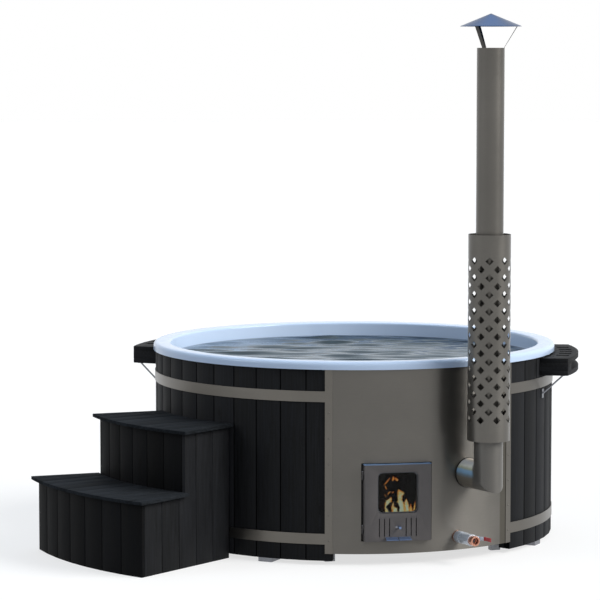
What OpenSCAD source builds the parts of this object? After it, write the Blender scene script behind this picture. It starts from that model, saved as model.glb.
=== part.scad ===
// Round wooden hot tub with a built-in wood heater behind a steel front panel,
// a flue with a perforated heat guard, two side shelves and a pair of steps.
// Origin: on the floor under the tub's axis, +Z up, with the panel facing -Y.
// Angles are counted from -Y, anticlockwise as seen from above.

/* [Tub] */
// Outer radius of the stave cladding
tub_r = 1000; // [900:5:1100]
// Height of the rim's top above the floor
tub_h = 969; // [900:1:1050]
// Gap between the floor and the lower ends of the staves, taken by the base rails
base_h = 20; // [15:1:40]
// Thickness of a stave
stave_t = 28; // [22:1:40]
// Number of staves round the open side of the panel
stave_count = 42; // [30:1:60]
// Length of the tongue along each stave's edge
tongue_l = 6; // [4:0.5:8]
// Thickness of the tongue
tongue_t = 8; // [5:0.5:10]
// Bevel on the edges of staves and boards
bevel = 3; // [1:0.5:5]
// Gap between neighbouring staves or boards
board_gap = 0.4; // [0.3:0.1:1]

/* [Liner] */
// Wall thickness of the moulded liner
liner_t = 6; // [4:0.5:8]
// How far the rim's skirt stands out past the cladding
rim_out = 11; // [9:0.5:20]
// Width of the rim's flat top
rim_w = 86; // [70:1:110]
// Depth of the rim's outer skirt
rim_skirt = 39; // [30:1:50]
// Rounding of the rim's outer edge
rim_round = 20; // [12:1:26]
// Height of the bench's top above the floor
bench_z = 540; // [530:1:580]
// Radius of the foot well
well_r = 550; // [500:1:560]
// Height of the foot well's floor
well_z = 90; // [84:1:100]

/* [Hoops] */
// Width of a hoop
hoop_w = 51; // [40:1:70]
// Thickness of a hoop
hoop_t = 3; // [2:0.5:4]
// Height of the lower hoop's lower edge
hoop_low_z = 99; // [80:1:120]
// Height of the upper hoop's lower edge
hoop_high_z = 776; // [700:1:790]

/* [Front panel] */
// Thickness of the steel panel
panel_t = 2; // [1.5:0.5:3]
// Height of the panel's lower edge
panel_z = 55; // [40:1:70]
// Width of the cover strips at the panel's two sides
strip_w = 36; // [30:1:50]

/* [Stove door] */
// Width of the door leaf
door_w = 322; // [300:1:330]
// Height of the door leaf
door_h = 367; // [350:1:370]
// Depth of the door leaf
door_d = 45; // [40:1:50]
// Height of the door leaf's lower edge
door_z = 117.5; // [116:0.5:120]
// Gap between the leaf's side and the panel's opening
door_side_gap = 9.5; // [9.3:0.1:12]
// Side of the square window
window_w = 196; // [150:1:200]
// Radius of the window's corners
window_round = 22; // [10:1:40]
// Length of an air slot
air_slot_l = 92; // [60:1:95]
// Width of an air slot
air_slot_w = 4; // [3:0.5:5]
// Travel of the air slide
air_travel = 12; // [8:1:14]

/* [Flue] */
// Outer radius of the flue pipe
flue_r = 64.6; // [55:0.1:66]
// Wall of the flue pipe
flue_t = 1.5; // [1:0.1:2]
// Height of the flue outlet's axis
outlet_z = 422; // [415:1:425]
// Distance of the upright flue's axis from the cladding
flue_reach = 170; // [150:1:250]
// Height of the flue's top
flue_top_z = 2435; // [2200:5:2700]
// Radius of the heat guard
guard_r = 100; // [90:1:110]
// Height of the guard's lower edge
guard_z = 598; // [560:1:640]
// Length of the guard
guard_h = 970; // [800:5:1100]
// Rows of holes in each column of the guard
guard_rows = 10; // [6:1:10]
// Columns of holes round the guard
guard_cols = 16; // [8:2:20]
// Radius of the rain cap
cap_r = 143; // [120:1:160]
// Height of the rain cap's cone
cap_h = 60; // [40:1:80]
// Gap between the flue's top and the rain cap
cap_gap = 99; // [80:1:120]

/* [Drain] */
// Height of the drain's axis
drain_z = 120; // [116:1:130]
// Outer radius of the drain pipe
drain_r = 17; // [15:0.5:18]
// Radius of the outlet's bore
outlet_bore_r = 16.5; // [14:0.5:18]
// Distance of the outlet's face from the cladding
outlet_reach = 165; // [155:1:180]

/* [Shelves] */
// Depth of a shelf
shelf_d = 131; // [110:1:160]
// Length of a shelf
shelf_l = 674; // [500:1:760]
// Thickness of a shelf board
shelf_t = 22; // [18:1:26]
// Overall height of a shelf
shelf_h = 85; // [75:1:90]
// Height of the shelf's top
shelf_z = 922; // [915:1:925]

/* [Steps] */
// Distance of the lower step's riser from the cladding
step_low_reach = 645; // [560:1:700]
// Distance of the upper step's riser from the cladding
step_high_reach = 333; // [290:1:360]
// Height of the lower tread's top
tread_low_z = 358; // [320:1:380]
// Height of the upper tread's top
tread_high_z = 651; // [600:1:680]
// Thickness of a tread
tread_t = 15; // [12:1:22]
// Thickness of the steps' boards
board_t = 18; // [15:1:22]
// How far a tread stands out past its riser
tread_front = 30; // [20:1:40]
// How far a tread stands out past the side walls
tread_side = 27; // [15:1:35]

/* [Hidden] */

// Facets of a large ring and of a small round piece
ring_fn = 180;
$fn = 48;
// Overrun of a cut past the face that it opens
over = 5;
// Gap between curved faces that lie against each other, and between stacked sheets
fit = 0.4;
layer = 0.3;
// Running gap of a shaft in its hole
run = 0.05;

// Angles of the staves' first and last edges, either side of the panel
stave_a0 = 47.81;
stave_a1 = 353.19;
// Angles of the panel's two edges
panel_a0 = -8.84;
panel_a1 = 47.97;
stave_pitch = (stave_a1 - stave_a0) / stave_count;
tongue_play = 0.6;

// Rim and liner
rim_low_z = tub_h - rim_skirt;
rim_r = tub_r + rim_out;
wall_r = rim_r - rim_w;
wall_taper = 30;
rim_inner_round = 12;
bench_round = 40;
well_round = 10;
rim_fall = 2;
bench_nose = 30;
fillet_steps = 6;
floor_under = well_z - liner_t;
bench_under = bench_z - liner_t;

// Timber inside the wall
ring_t = 20;
ring_h = 36;
batten_h = 60;
post_w = 45;
wall_post_t = 16;
panel_post_d = 64;
batten_rise = 6;
stave_top_gap = 18;
stave_top_z = tub_h - liner_t - stave_top_gap;
stave_in_r = tub_r - stave_t;
cladding_in_r = stave_in_r * cos(stave_pitch / 2) - fit;
rim_ring_gap = 7;
rim_ring_w = 29;
rim_ring_in_r = wall_r + liner_t + rim_ring_gap;
rim_ring_out_r = rim_ring_in_r + rim_ring_w;
rim_ring_top_z = tub_h - rim_fall - liner_t - layer;
rim_ring_low_z = rim_ring_top_z - ring_h;
post_out_r = cladding_in_r - ring_t - fit;
post_span = 1.1 * post_w / post_out_r * 180 / PI;

// Base
rail_w = 70;
bearer_w = 60;
rail_angles = [-26, 64, 154, 244];
bearer_in = bearer_w / 2 + fit;
prop_in = 210;
prop_r = well_r + prop_in;

// Panel and hoops
skin_r = tub_r + fit;
panel_out_r = skin_r + panel_t;
panel_tuck = 12;
panel_top_z = rim_low_z + panel_tuck;
strip_t = 2;
strip_span = strip_w / panel_out_r * 180 / PI;
screw_r = 3;
screw_l = 22;
screw_head_t = 1;
screw_rows = 7;
screw_first = 60;
screw_step = 122;
hole_play = 0.5;

// Stove door, in its own frame turned to door_a: x along the leaf, -y outwards
door_a = 10.75;
door_stand = 20;
door_face = tub_r + door_stand;
sheet_t = 3;
opening_top_gap = 3;
opening_low_gap = 1.5;
opening_w = door_w + 2 * door_side_gap;
opening_h = door_h + opening_top_gap + opening_low_gap;
opening_z = door_z - opening_low_gap;
door_back_y = door_face - door_d;
window_rise = 133;
window_z = door_z + window_rise;
glass_t = 5;
glass_lap = 10;
frame_t = 3;
air_pitch = 24.5;
air_first = 40;
air_slot_rise = 21;
air_slot_z = door_z + air_slot_rise;
slide_w = 210;
slide_margin = 4;
slide_h = air_slot_l + 2 * slide_margin;
slide_t = 3;
slide_z = air_slot_z - slide_margin;
slot_play = 1;
slide_slot_w = air_slot_w + slot_play;
knob_x = 6;
knob_r = 5;
knob_rise = 67;
knob_z = door_z + knob_rise;
knob_out = 25;
knob_lip = 1;
neck_t = 5;
neck_w = 300;
neck_h = 340;
seal_t = 5;
flange_y = door_back_y - seal_t;
neck_flange_t = 4;
neck_in = 72;
neck_y = tub_r - neck_in;
seal_w = 12;
seal_margin = 4;
door_mid_z = door_z + door_h / 2;
hinge_side = 5.4;
hinge_depth = 22;
hinge_x = -door_w / 2 - hinge_side;
hinge_y = door_face - hinge_depth;
knuckle_r = 3.8;
pin_r = 2.4;
knuckle_h = 20;
strap_t = 3.6;
hinge_rise = 35;
hinge_fall = 75;
hinge_low_z = door_z + hinge_rise;
hinge_high_z = door_z + door_h - hinge_fall;
lip_w = 121;
lip_out = 32;
lip_drop = 9;
lip_slit = 4;
lip_t = 2;
lip_rise = 20;
lip_z = door_z + lip_rise;
guide_t = 3;
guide_w = 8;
guide_lap = 5;

// Heater, a sector vessel between the panel and the foot well
fire_t = 6;
fire_in = 50;
fire_r1 = tub_r - fire_in;
fire_a0 = -1.5;
fire_a1 = 23;
fire_z0 = 105;
fire_z1 = 500;
smoke_d = 160;
smoke_r0 = fire_r1 - smoke_d;
smoke_a1 = 39.5;
smoke_z0 = 330;
smoke_step = 4;
smoke_r1 = fire_r1 - smoke_step;
smoke_z1 = fire_z1 - smoke_step;
jacket_t = 4;
jacket_gap = 13;
jacket_well_gap = 62;
jacket_r0 = well_r + jacket_well_gap;
jacket_in = 38;
jacket_r1 = tub_r - jacket_in;
jacket_back_gap = 28;
fire_r0 = jacket_r0 + jacket_back_gap;
jacket_a0 = -3.4;
jacket_a1 = 24.9;
jacket_z0 = fire_z0 - jacket_gap - jacket_t;
jacket_z1 = fire_z1 + jacket_gap + jacket_t;
stay_r = 10;
leg_w = 30;
leg_in = 50;
foot_w = 50;
stand_in = 100;
stand_r = tub_r - stand_in;
stand_a = 20.5;
stand_half = 30.5;
grate_rise = 48;
grate_z = fire_z0 + grate_rise;
grate_t = 12;
grate_bar_w = 12;
grate_bars = 9;
grate_back = 40;
grate_front = 50;
grate_r0 = fire_r0 + grate_back;
grate_r1 = fire_r1 - grate_front;
grate_half_w = 105;
grate_frame_w = 14;
grate_leg_w = 12;
pan_t = 2;
pan_h = 30;
pan_wall_gap = 10;
baffle_t = 6;
baffle_fall = 45;
baffle_z = fire_z1 - baffle_fall;
pipe_r = 25;
pipe_t = 2.5;
flow_low_z = 190;
flow_high_z = 455;
grille_r = 45;
grille_t = 6;
grille_slot_w = 5;
grille_slot_share = 0.9;
drain_grille_r = 20;

// Flue
flue_a = 31.72;
flue_dist = tub_r + flue_reach;
flue_in_r = flue_r - flue_t;
elbow_r = 69;
elbow_t = 2;
elbow_in_r = elbow_r - elbow_t;
outlet_play = 1.5;
outlet_hole_r = elbow_r + outlet_play;
collar_out = 6;
collar_w = 3.5;
guard_lap = 22;
elbow_top_z = guard_z + guard_lap;
lower_pipe_l = 478;
lower_top_z = elbow_top_z + lower_pipe_l;
sleeve_l = 40;
guard_t = 1.5;
guard_a = -4;
guard_top_margin = 121;
guard_low_margin = 104;
diamond_w = 38;
diamond_h = 36;
guard_pitch = (guard_h - guard_top_margin - guard_low_margin) / (guard_rows - 0.5);
spacer_w = 14;
spacer_h = 24;
spacer_in = 60;
spacer_levels = [spacer_in, guard_h - spacer_in];
strap_w = 16;
strap_plate_t = 1.5;
strap_tail = 35;
strap_azimuths = [83, 203, 323];
cap_t = 1.5;
cap_z = flue_top_z + cap_gap;
strap_reach = 127;

// Drain and its ball valve, in its own frame turned to drain_a
drain_a = 28.5;
outlet_dist = tub_r + outlet_reach;
outlet_l = 30;
drain_wall = 2.5;
union_r = 28;
wall_nut_t = 8;
union_gap = 4;
ball_shift = 3;
body_l = 78.6;
body_y1 = outlet_dist - outlet_l;
body_y0 = body_y1 - body_l;
union_y0 = panel_out_r + wall_nut_t;
union_y = body_y0 - union_gap;
ball_y = (body_y0 + body_y1) / 2 + ball_shift;
body_r = 27;
hex_r = 29;
hex_l = 16;
outlet_r = 23.5;
outlet_bore_l = 20;
bore_r = 13;
ball_r = 19;
ball_play = 0.3;
ball_steps = 16;
boss_r = 13;
boss_l = 46;
packing_r = 11;
packing_l = 10;
stem_r = 5;
stem_l = 72;
lever_t = 3;
lever_w = 18;
lever_l = 78;
lever_near = 58;
lever_far = 76;
lever_bend0 = 14;
lever_bend1 = 34;
nut_r = 8;
nut_l = 7;

// Shelves
shelf_angles = [84.3, -114.6];
shelf_in_r = tub_r + fit;
shelf_out_r = tub_r + shelf_d;
shelf_slot_w = 36;
shelf_slot_pitch = 94;
shelf_slot_near = 37;
shelf_slot_far = 100;
shelf_slot_r0 = tub_r + shelf_slot_near;
shelf_slot_r1 = tub_r + shelf_slot_far;
shelf_slots = 5;
shelf_end_w = 60;
brace_r = 4;
brace_x = 300;
brace_rise = 92;
brace_reach = 96;
brace_plate_w = 24;
brace_plate_h = 44;
brace_plate_t = 4;

// Steps, in their own frame turned to step_a
step_a = -53.6;
riser_low_r = tub_r + step_low_reach;
riser_high_r = tub_r + step_high_reach;
step_half = 16.2;
riser_low_boards = 7;
riser_high_boards = 6;
riser_tongue = [4, 5];
side_board_count = 5;
side_in_r = tub_r + hoop_t + 2 * fit;
tread_low_boards = 11;
tread_high_boards = 8;
tread_gap = 1.5;
batten = 40;

// Point at radius r and angle a, and the same point moved sideways by s
function radial(a) = [sin(a), -cos(a)];
function tangent(a) = [cos(a), sin(a)];
function side_point(r, a, s) = r * radial(a) + s * tangent(a);

function unit(v) = v / norm(v);
function corner_angle(a, b, c) = acos(unit(a - b) * unit(c - b));

// Arc of steps + 1 points that rounds corner b, between a and c, to radius r
function rounded_corner(a, b, c, r, steps) =
    let (half = corner_angle(a, b, c) / 2,
         centre = b + unit(unit(a - b) + unit(c - b)) * r / sin(half),
         from = b + unit(a - b) * r / tan(half) - centre,
         to = b + unit(c - b) * r / tan(half) - centre,
         sweep = 180 - 2 * half)
    [for (i = [0:steps]) let (k = i / steps)
        centre + (from * sin((1 - k) * sweep) + to * sin(k * sweep)) / sin(sweep)];

// Path through corners of [x, y, rounding], where a rounding of 0 keeps the corner sharp
function rounded_path(corners) = [
    for (i = [0:len(corners) - 1])
        let (b = [corners[i][0], corners[i][1]], r = corners[i][2])
        each r == 0 ? [b] : rounded_corner(
            [corners[i - 1][0], corners[i - 1][1]], b,
            [corners[i + 1][0], corners[i + 1][1]], r, fillet_steps)];

function reversed(list) = [for (i = [len(list) - 1:-1:0]) list[i]];

module at_angle(a) { rotate([0, 0, a]) children(); }

// Ring sector between two radii, two heights and two angles
module sector(r0, r1, z0, z1, a0, a1) {
    rotate([0, 0, a0 - 90])
        rotate_extrude(angle = a1 - a0, $fn = ring_fn)
            translate([r0, z0]) square([r1 - r0, z1 - z0]);
}

// Full ring
module ring(r0, r1, z0, z1, facets = ring_fn) {
    difference() {
        translate([0, 0, z0]) cylinder(r = r1, h = z1 - z0, $fn = facets);
        translate([0, 0, z0 - over]) cylinder(r = r0, h = z1 - z0 + 2 * over, $fn = facets);
    }
}

// Block in a turned frame: x across, y0 to y1 outwards from the tub's axis
module block(x0, x1, y0, y1, z0, z1) {
    translate([x0, -y1, z0]) cube([x1 - x0, y1 - y0, z1 - z0]);
}

// Round bar along the outward direction, from y0 to y1, at height z
module outward_bar(r, y0, y1, z, x = 0) {
    translate([x, -y0, z]) rotate([90, 0, 0]) cylinder(r = r, h = y1 - y0);
}

// Cross-section of a board between two edges at half the pitch either side of -y.
// The first board of a ring has no groove, and the last has no tongue.
module board_profile(r, t, pitch, tongue, first, last) {
    a = pitch / 2;
    g = board_gap / 2;
    mid = r - t / 2;
    half = tongue[1] / 2;
    deep = tongue[0] + tongue_play;
    wide = half + tongue_play;
    tongue_side = last ? [] : [
        side_point(mid + half, a, -g), side_point(mid + half, a, tongue[0]),
        side_point(mid - half, a, tongue[0]), side_point(mid - half, a, -g)];
    groove_side = first ? [] : [
        side_point(mid - wide, -a, g), side_point(mid - wide, -a, deep),
        side_point(mid + wide, -a, deep), side_point(mid + wide, -a, g)];
    polygon(concat(
        [side_point(r, a, -g - bevel), side_point(r - bevel, a, -g)], tongue_side,
        [side_point(r - t, a, -g), side_point(r - t, -a, g)], groove_side,
        [side_point(r - bevel, -a, g), side_point(r, -a, g + bevel)]));
}

// Ring of boards with tongues and grooves, from angle a0 to a1
module board_ring(count, a0, a1, r, t, z0, z1, tongue) {
    pitch = (a1 - a0) / count;
    for (i = [0:count - 1])
        rotate([0, 0, a0 + (i + 0.5) * pitch])
            translate([0, 0, z0])
                linear_extrude(z1 - z0)
                    board_profile(r, t, pitch, tongue, i == 0, i == count - 1);
}

// Moulded liner: rim with its skirt, wall, bench ring and foot well in one shell
module liner_profile() {
    t = liner_t;
    wet = rounded_path([
        [rim_r, rim_low_z, 0],
        [rim_r, tub_h, rim_round],
        [wall_r, tub_h - rim_fall, rim_inner_round],
        [wall_r - wall_taper, bench_z, bench_round],
        [well_r, bench_z, bench_nose],
        [well_r, well_z, well_round],
        [0, well_z, 0]]);
    dry = rounded_path([
        [rim_r - t, rim_low_z, 0],
        [rim_r - t, tub_h - t, rim_round - t],
        [wall_r + t, tub_h - rim_fall - t, rim_inner_round - t],
        [wall_r - wall_taper + t, bench_under, bench_round + t],
        [well_r + t, bench_under, bench_nose - t],
        [well_r + t, floor_under, well_round + t],
        [0, floor_under, 0]]);
    polygon(concat(wet, reversed(dry)));
}

module liner() {
    color("white")
        difference() {
            rotate_extrude($fn = ring_fn) liner_profile();
            at_angle(door_a)
                for (z = [flow_low_z, flow_high_z])
                    outward_bar(pipe_r + fit, well_r - over, well_r + liner_t + over, z);
            at_angle(drain_a)
                outward_bar(drain_r + fit, well_r - over, well_r + liner_t + over, drain_z);
        }
}

// Timber ring that carries the rim
module rim_ring() {
    color("tan") ring(rim_ring_in_r, rim_ring_out_r, rim_ring_low_z, rim_ring_top_z);
}

module staves() {
    color("#26272a")
        difference() {
            board_ring(stave_count, stave_a0, stave_a1, tub_r, stave_t, base_h, stave_top_z,
                [tongue_l, tongue_t]);
            strip_screw_set(screw_r / 2 + run);
        }
}

// Battens behind the two hoops, open behind the panel
module batten_rings() {
    color("tan")
        for (z = [hoop_low_z, hoop_high_z])
            sector(cladding_in_r - ring_t, cladding_in_r, z + (hoop_w - batten_h) / 2,
                z + (hoop_w + batten_h) / 2, stave_a0 + post_span, stave_a1 - post_span);
}

// Hoop that runs from one panel strip round to the other
module hoop(z) {
    sector(skin_r, skin_r + hoop_t, z, z + hoop_w, panel_a1, panel_a0 + 360);
}

module hoop_upper() {
    color("#8a857c") hoop(hoop_high_z);
}

module hoop_lower() {
    color("#8a857c") hoop(hoop_low_z);
}

// Curved sheet with the door's opening, the flue's hole and the drain's hole
module front_panel() {
    color("#a09b93")
        difference() {
            sector(skin_r, panel_out_r, panel_z, panel_top_z, panel_a0, panel_a1);
            at_angle(door_a)
                block(-opening_w / 2, opening_w / 2, tub_r / 2, door_face + over,
                    opening_z, opening_z + opening_h);
            at_angle(flue_a)
                outward_bar(outlet_hole_r, tub_r / 2, panel_out_r + over, outlet_z);
            at_angle(drain_a)
                outward_bar(drain_r + hole_play, tub_r / 2, panel_out_r + over, drain_z);
            strip_screw_set(screw_r / 2 + hole_play / 2);
        }
}

// Middle angle of each cover strip
function strip_angles() = [panel_a0 + strip_span / 2, panel_a1 - strip_span / 2];
function screw_z(i) = panel_z + screw_first + i * screw_step;

module panel_strips() {
    color("#b5b0a8")
        difference() {
            for (a = strip_angles())
                sector(panel_out_r, panel_out_r + strip_t, panel_z, panel_top_z,
                    a - strip_span / 2, a + strip_span / 2);
            strip_screw_set(screw_r / 2 + hole_play / 2);
        }
}

// Plain bars at every strip screw's place
module strip_screw_set(r) {
    for (a = strip_angles(), i = [0:screw_rows - 1])
        at_angle(a)
            outward_bar(r, tub_r - screw_l, panel_out_r + strip_t + over, screw_z(i));
}

// Timber posts behind the first and last stave, and a batten behind the right strip
module panel_posts() {
    near = tub_r - panel_post_d;
    color("tan")
        difference() {
            union() {
                for (edge = [[stave_a1, 1], [stave_a0, 0]])
                    at_angle(edge[0])
                        mirror([edge[1], 0, 0])
                            block(fit, post_w, near, cladding_in_r - 2 * fit, base_h,
                                rim_ring_low_z);
                at_angle(stave_a0)
                    block(-strip_w, -fit, near, tub_r - 3 * fit, panel_z + batten_rise,
                        rim_ring_low_z);
            }
            strip_screw_set(screw_r / 2 + run);
        }
}

// Low-headed screws through the strips
module strip_screws() {
    color("silver")
        for (a = strip_angles(), i = [0:screw_rows - 1])
            at_angle(a) {
                outward_bar(screw_r / 2, tub_r - screw_l + over, panel_out_r + strip_t,
                    screw_z(i));
                outward_bar(screw_r, panel_out_r + strip_t,
                    panel_out_r + strip_t + screw_head_t, screw_z(i));
            }
}

// Uprights round the wall that carry the rim ring
module wall_posts() {
    color("tan")
        for (a = rail_angles)
            at_angle(a)
                block(-post_w / 2, post_w / 2, post_out_r - wall_post_t, post_out_r,
                    floor_under, rim_ring_low_z);
}

// Crossed flat rails on the floor, the second in two lengths beside the first
module base_rails() {
    color("silver") {
        at_angle(rail_angles[0])
            block(-rail_w / 2, rail_w / 2, -tub_r, tub_r, 0, base_h);
        for (a = [rail_angles[1], rail_angles[3]])
            at_angle(a)
                block(-rail_w / 2, rail_w / 2, rail_w / 2 + fit, tub_r, 0, base_h);
    }
}

// Timber bearers on the rails, one long and two that butt against it
module bearers() {
    color("tan") {
        at_angle(rail_angles[0])
            block(-bearer_w / 2, bearer_w / 2, -post_out_r, post_out_r, base_h, floor_under);
        for (a = [rail_angles[1], rail_angles[3]])
            at_angle(a)
                block(-bearer_w / 2, bearer_w / 2, bearer_in, post_out_r, base_h, floor_under);
    }
}

// Short props between the bearers and the bench
module bench_props() {
    color("tan")
        for (a = rail_angles)
            at_angle(a)
                block(-post_w / 2, post_w / 2, prop_r - post_w / 2, prop_r + post_w / 2,
                    floor_under, bench_under);
}

// Closed sector vessel with walls of thickness t
module sector_vessel(r0, r1, z0, z1, a0, a1, t) {
    side_a = t / r0 * 180 / PI;
    difference() {
        sector(r0, r1, z0, z1, a0, a1);
        sector(r0 + t, r1 - t, z0 + t, z1 - t, a0 + side_a, a1 - side_a);
    }
}

// Fire chamber with the smoke box that leads to the flue
module firebox() {
    wall_a = fire_t / fire_r0 * 180 / PI;
    color("#5a5a5c")
        difference() {
            union() {
                sector(fire_r0, fire_r1, fire_z0, fire_z1, fire_a0, fire_a1);
                sector(smoke_r0, smoke_r1, smoke_z0, smoke_z1, fire_a1 - wall_a, smoke_a1);
            }
            sector(fire_r0 + fire_t, fire_r1 - fire_t, fire_z0 + fire_t, fire_z1 - fire_t,
                fire_a0 + wall_a, fire_a1 - wall_a);
            sector(smoke_r0 + fire_t, smoke_r1 - fire_t, smoke_z0 + fire_t,
                smoke_z1 - fire_t, fire_a1 - 2 * wall_a, smoke_a1 - wall_a);
            at_angle(door_a)
                block(-neck_w / 2 - fit, neck_w / 2 + fit, neck_y - fire_t, tub_r,
                    door_mid_z - neck_h / 2 - fit, door_mid_z + neck_h / 2 + fit);
            at_angle(flue_a)
                outward_bar(elbow_r + fit, neck_y, tub_r, outlet_z);
        }
}

// Water jacket round the fire chamber
module water_jacket() {
    wall_a = jacket_t / jacket_r0 * 180 / PI;
    color("#77787a")
        difference() {
            sector_vessel(jacket_r0, jacket_r1, jacket_z0, jacket_z1, jacket_a0, jacket_a1,
                jacket_t);
            at_angle(door_a)
                block(-neck_w / 2 - fit, neck_w / 2 + fit, neck_y, tub_r,
                    door_mid_z - neck_h / 2 - fit, door_mid_z + neck_h / 2 + fit);
            sector(smoke_r0 - fit, smoke_r1 + fit, smoke_z0 - fit, smoke_z1 + fit,
                jacket_a1 - 2 * wall_a, jacket_a1 + wall_a);
            at_angle(door_a)
                for (z = [flow_low_z, flow_high_z])
                    outward_bar(pipe_r + fit, jacket_r0 - over, jacket_r0 + jacket_t + over, z);
        }
}

// Places of the four stays under the fire chamber, as [x, y] in the door's frame
function stay_places() = [for (x = [-1, 1], y = [0, 1])
    [x * (y == 0 ? neck_w / 3 : neck_w / 2), y == 0 ? jacket_r0 + leg_in : fire_r1 - leg_in]];

module jacket_stays() {
    color("#77787a")
        at_angle(door_a)
            for (p = stay_places())
                translate([p[0], -p[1], jacket_z0 + jacket_t])
                    cylinder(r = stay_r, h = jacket_gap);
}

// Two short legs by the foot well, and a cross beam whose feet stand behind the staves
module heater_stand() {
    near = stand_r * cos(stand_half);
    far = stand_r * sin(stand_half);
    color("#77787a") {
        at_angle(door_a)
            for (x = [-neck_w / 3, neck_w / 3])
                block(x - leg_w / 2, x + leg_w / 2, jacket_r0 + leg_in - leg_w / 2,
                    jacket_r0 + leg_in + leg_w / 2, 0, jacket_z0);
        at_angle(stand_a) {
            block(-far, far, near - leg_w / 2, near + leg_w / 2, jacket_z0 - leg_w, jacket_z0);
            for (x = [-far, far - foot_w])
                block(x, x + foot_w, near - leg_w / 2, near + leg_w / 2, 0, jacket_z0 - leg_w);
        }
    }
}

// Cast grate: a frame with bars, on four feet
module fire_grate() {
    clear = grate_r1 - grate_r0 - 2 * grate_frame_w;
    step = 2 * grate_half_w / (grate_bars + 1);
    color("#3a3a3c")
        at_angle(door_a) {
            difference() {
                block(-grate_half_w, grate_half_w, grate_r0, grate_r1, grate_z,
                    grate_z + grate_t);
                block(grate_frame_w - grate_half_w, grate_half_w - grate_frame_w,
                    grate_r0 + grate_frame_w, grate_r1 - grate_frame_w, grate_z - over,
                    grate_z + grate_t + over);
            }
            for (i = [1:grate_bars])
                block(i * step - grate_half_w - grate_bar_w / 2,
                    i * step - grate_half_w + grate_bar_w / 2,
                    grate_r0 + grate_frame_w / 2, grate_r0 + 1.5 * grate_frame_w + clear,
                    grate_z, grate_z + grate_t);
            for (x = [-grate_half_w, grate_half_w - grate_leg_w],
                 y = [grate_r0, grate_r1 - grate_leg_w])
                block(x, x + grate_leg_w, y, y + grate_leg_w, fire_z0 + fire_t, grate_z);
        }
}

// Ash pan that stands on the chamber's floor under the grate
module ash_pan() {
    half = grate_half_w - grate_leg_w - layer;
    near = grate_r1 - pan_wall_gap;
    far = grate_r0 + grate_leg_w + layer;
    base = fire_z0 + fire_t;
    color("#6b6b6d")
        at_angle(door_a)
            difference() {
                block(-half, half, far, near, base, base + pan_h);
                block(pan_t - half, half - pan_t, far + pan_t, near - pan_t, base + pan_t,
                    base + pan_h + over);
            }
}

// Plate over the fire that sends the smoke to the front
module baffle() {
    wall_a = fire_t / fire_r0 * 180 / PI;
    play_a = fit / fire_r0 * 180 / PI;
    color("#5a5a5c")
        sector(fire_r0 + fire_t + fit, grate_r1, baffle_z, baffle_z + baffle_t,
            fire_a0 + wall_a + play_a, fire_a1 - wall_a - play_a);
}

// Two short pipes between the water jacket and the foot well
module flow_pipes() {
    color("silver")
        at_angle(door_a)
            for (z = [flow_low_z, flow_high_z])
                difference() {
                    outward_bar(pipe_r, grille_back(grille_r) + layer, jacket_r0 + jacket_t,
                        z);
                    outward_bar(pipe_r - pipe_t, well_r / 2, jacket_r0 + jacket_t + over, z);
                }
}

// Distance from the tub's axis to the flat back of a round cover on the well's wall
function grille_back(r) = sqrt(well_r * well_r - r * r) - fit;

// Round cover with three level slots and a spigot that fits the pipe behind it
module wall_grille(r, spigot_r, z) {
    back = grille_back(r);
    in_r = spigot_r - pipe_t;
    difference() {
        union() {
            outward_bar(r, back - grille_t, back, z);
            outward_bar(spigot_r, back, well_r + liner_t, z);
        }
        outward_bar(in_r, back, well_r + liner_t + over, z);
        for (i = [-1:1])
            let (h = i * spigot_r / 2, far = abs(h) + grille_slot_w / 2,
                 half = grille_slot_share * sqrt(in_r * in_r - far * far))
                block(-half, half, back - grille_t - over, back + over,
                    z + h - grille_slot_w / 2, z + h + grille_slot_w / 2);
    }
}

module wall_grilles() {
    color("silver") {
        at_angle(door_a)
            for (z = [flow_low_z, flow_high_z])
                wall_grille(grille_r, pipe_r - pipe_t - run, z);
        at_angle(drain_a)
            wall_grille(drain_grille_r, drain_r - drain_wall - run, drain_z);
    }
}

// Rectangular frame standing in the door's frame between two depths
module upright_frame(w, h, t, y0, y1) {
    difference() {
        block(-w / 2, w / 2, y0, y1, door_mid_z - h / 2, door_mid_z + h / 2);
        block(t - w / 2, w / 2 - t, y0 - over, y1 + over, door_mid_z - h / 2 + t,
            door_mid_z + h / 2 - t);
    }
}

// Neck between the fire chamber and the door, with a flange and the fixed hinge knuckles
module door_frame() {
    color("#6f6f70")
        at_angle(door_a) {
            upright_frame(neck_w, neck_h, neck_t, neck_y, flange_y);
            upright_frame(door_w, door_h, (door_w - neck_w) / 2 + neck_t,
                flange_y - neck_flange_t, flange_y);
            for (z = [hinge_low_z, hinge_high_z])
                difference() {
                    union() {
                        block(hinge_x - strap_t / 2, neck_t - door_w / 2,
                            flange_y - neck_flange_t, flange_y, z, z + knuckle_h);
                        block(hinge_x - strap_t / 2, hinge_x + strap_t / 2,
                            flange_y - neck_flange_t, hinge_y, z, z + knuckle_h);
                        translate([hinge_x, -hinge_y, z])
                            cylinder(r = knuckle_r, h = knuckle_h);
                    }
                    translate([hinge_x, -hinge_y, z - over])
                        cylinder(r = pin_r + run, h = knuckle_h + 2 * over);
                }
        }
}

module hinge_pins() {
    color("silver")
        at_angle(door_a)
            for (z = [hinge_low_z, hinge_high_z])
                translate([hinge_x, -hinge_y, 0]) {
                    translate([0, 0, z]) cylinder(r = pin_r, h = 2 * knuckle_h + 2 * layer);
                    translate([0, 0, z + 2 * knuckle_h + 2 * layer])
                        cylinder(r = knuckle_r, h = pin_r);
                }
}

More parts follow.
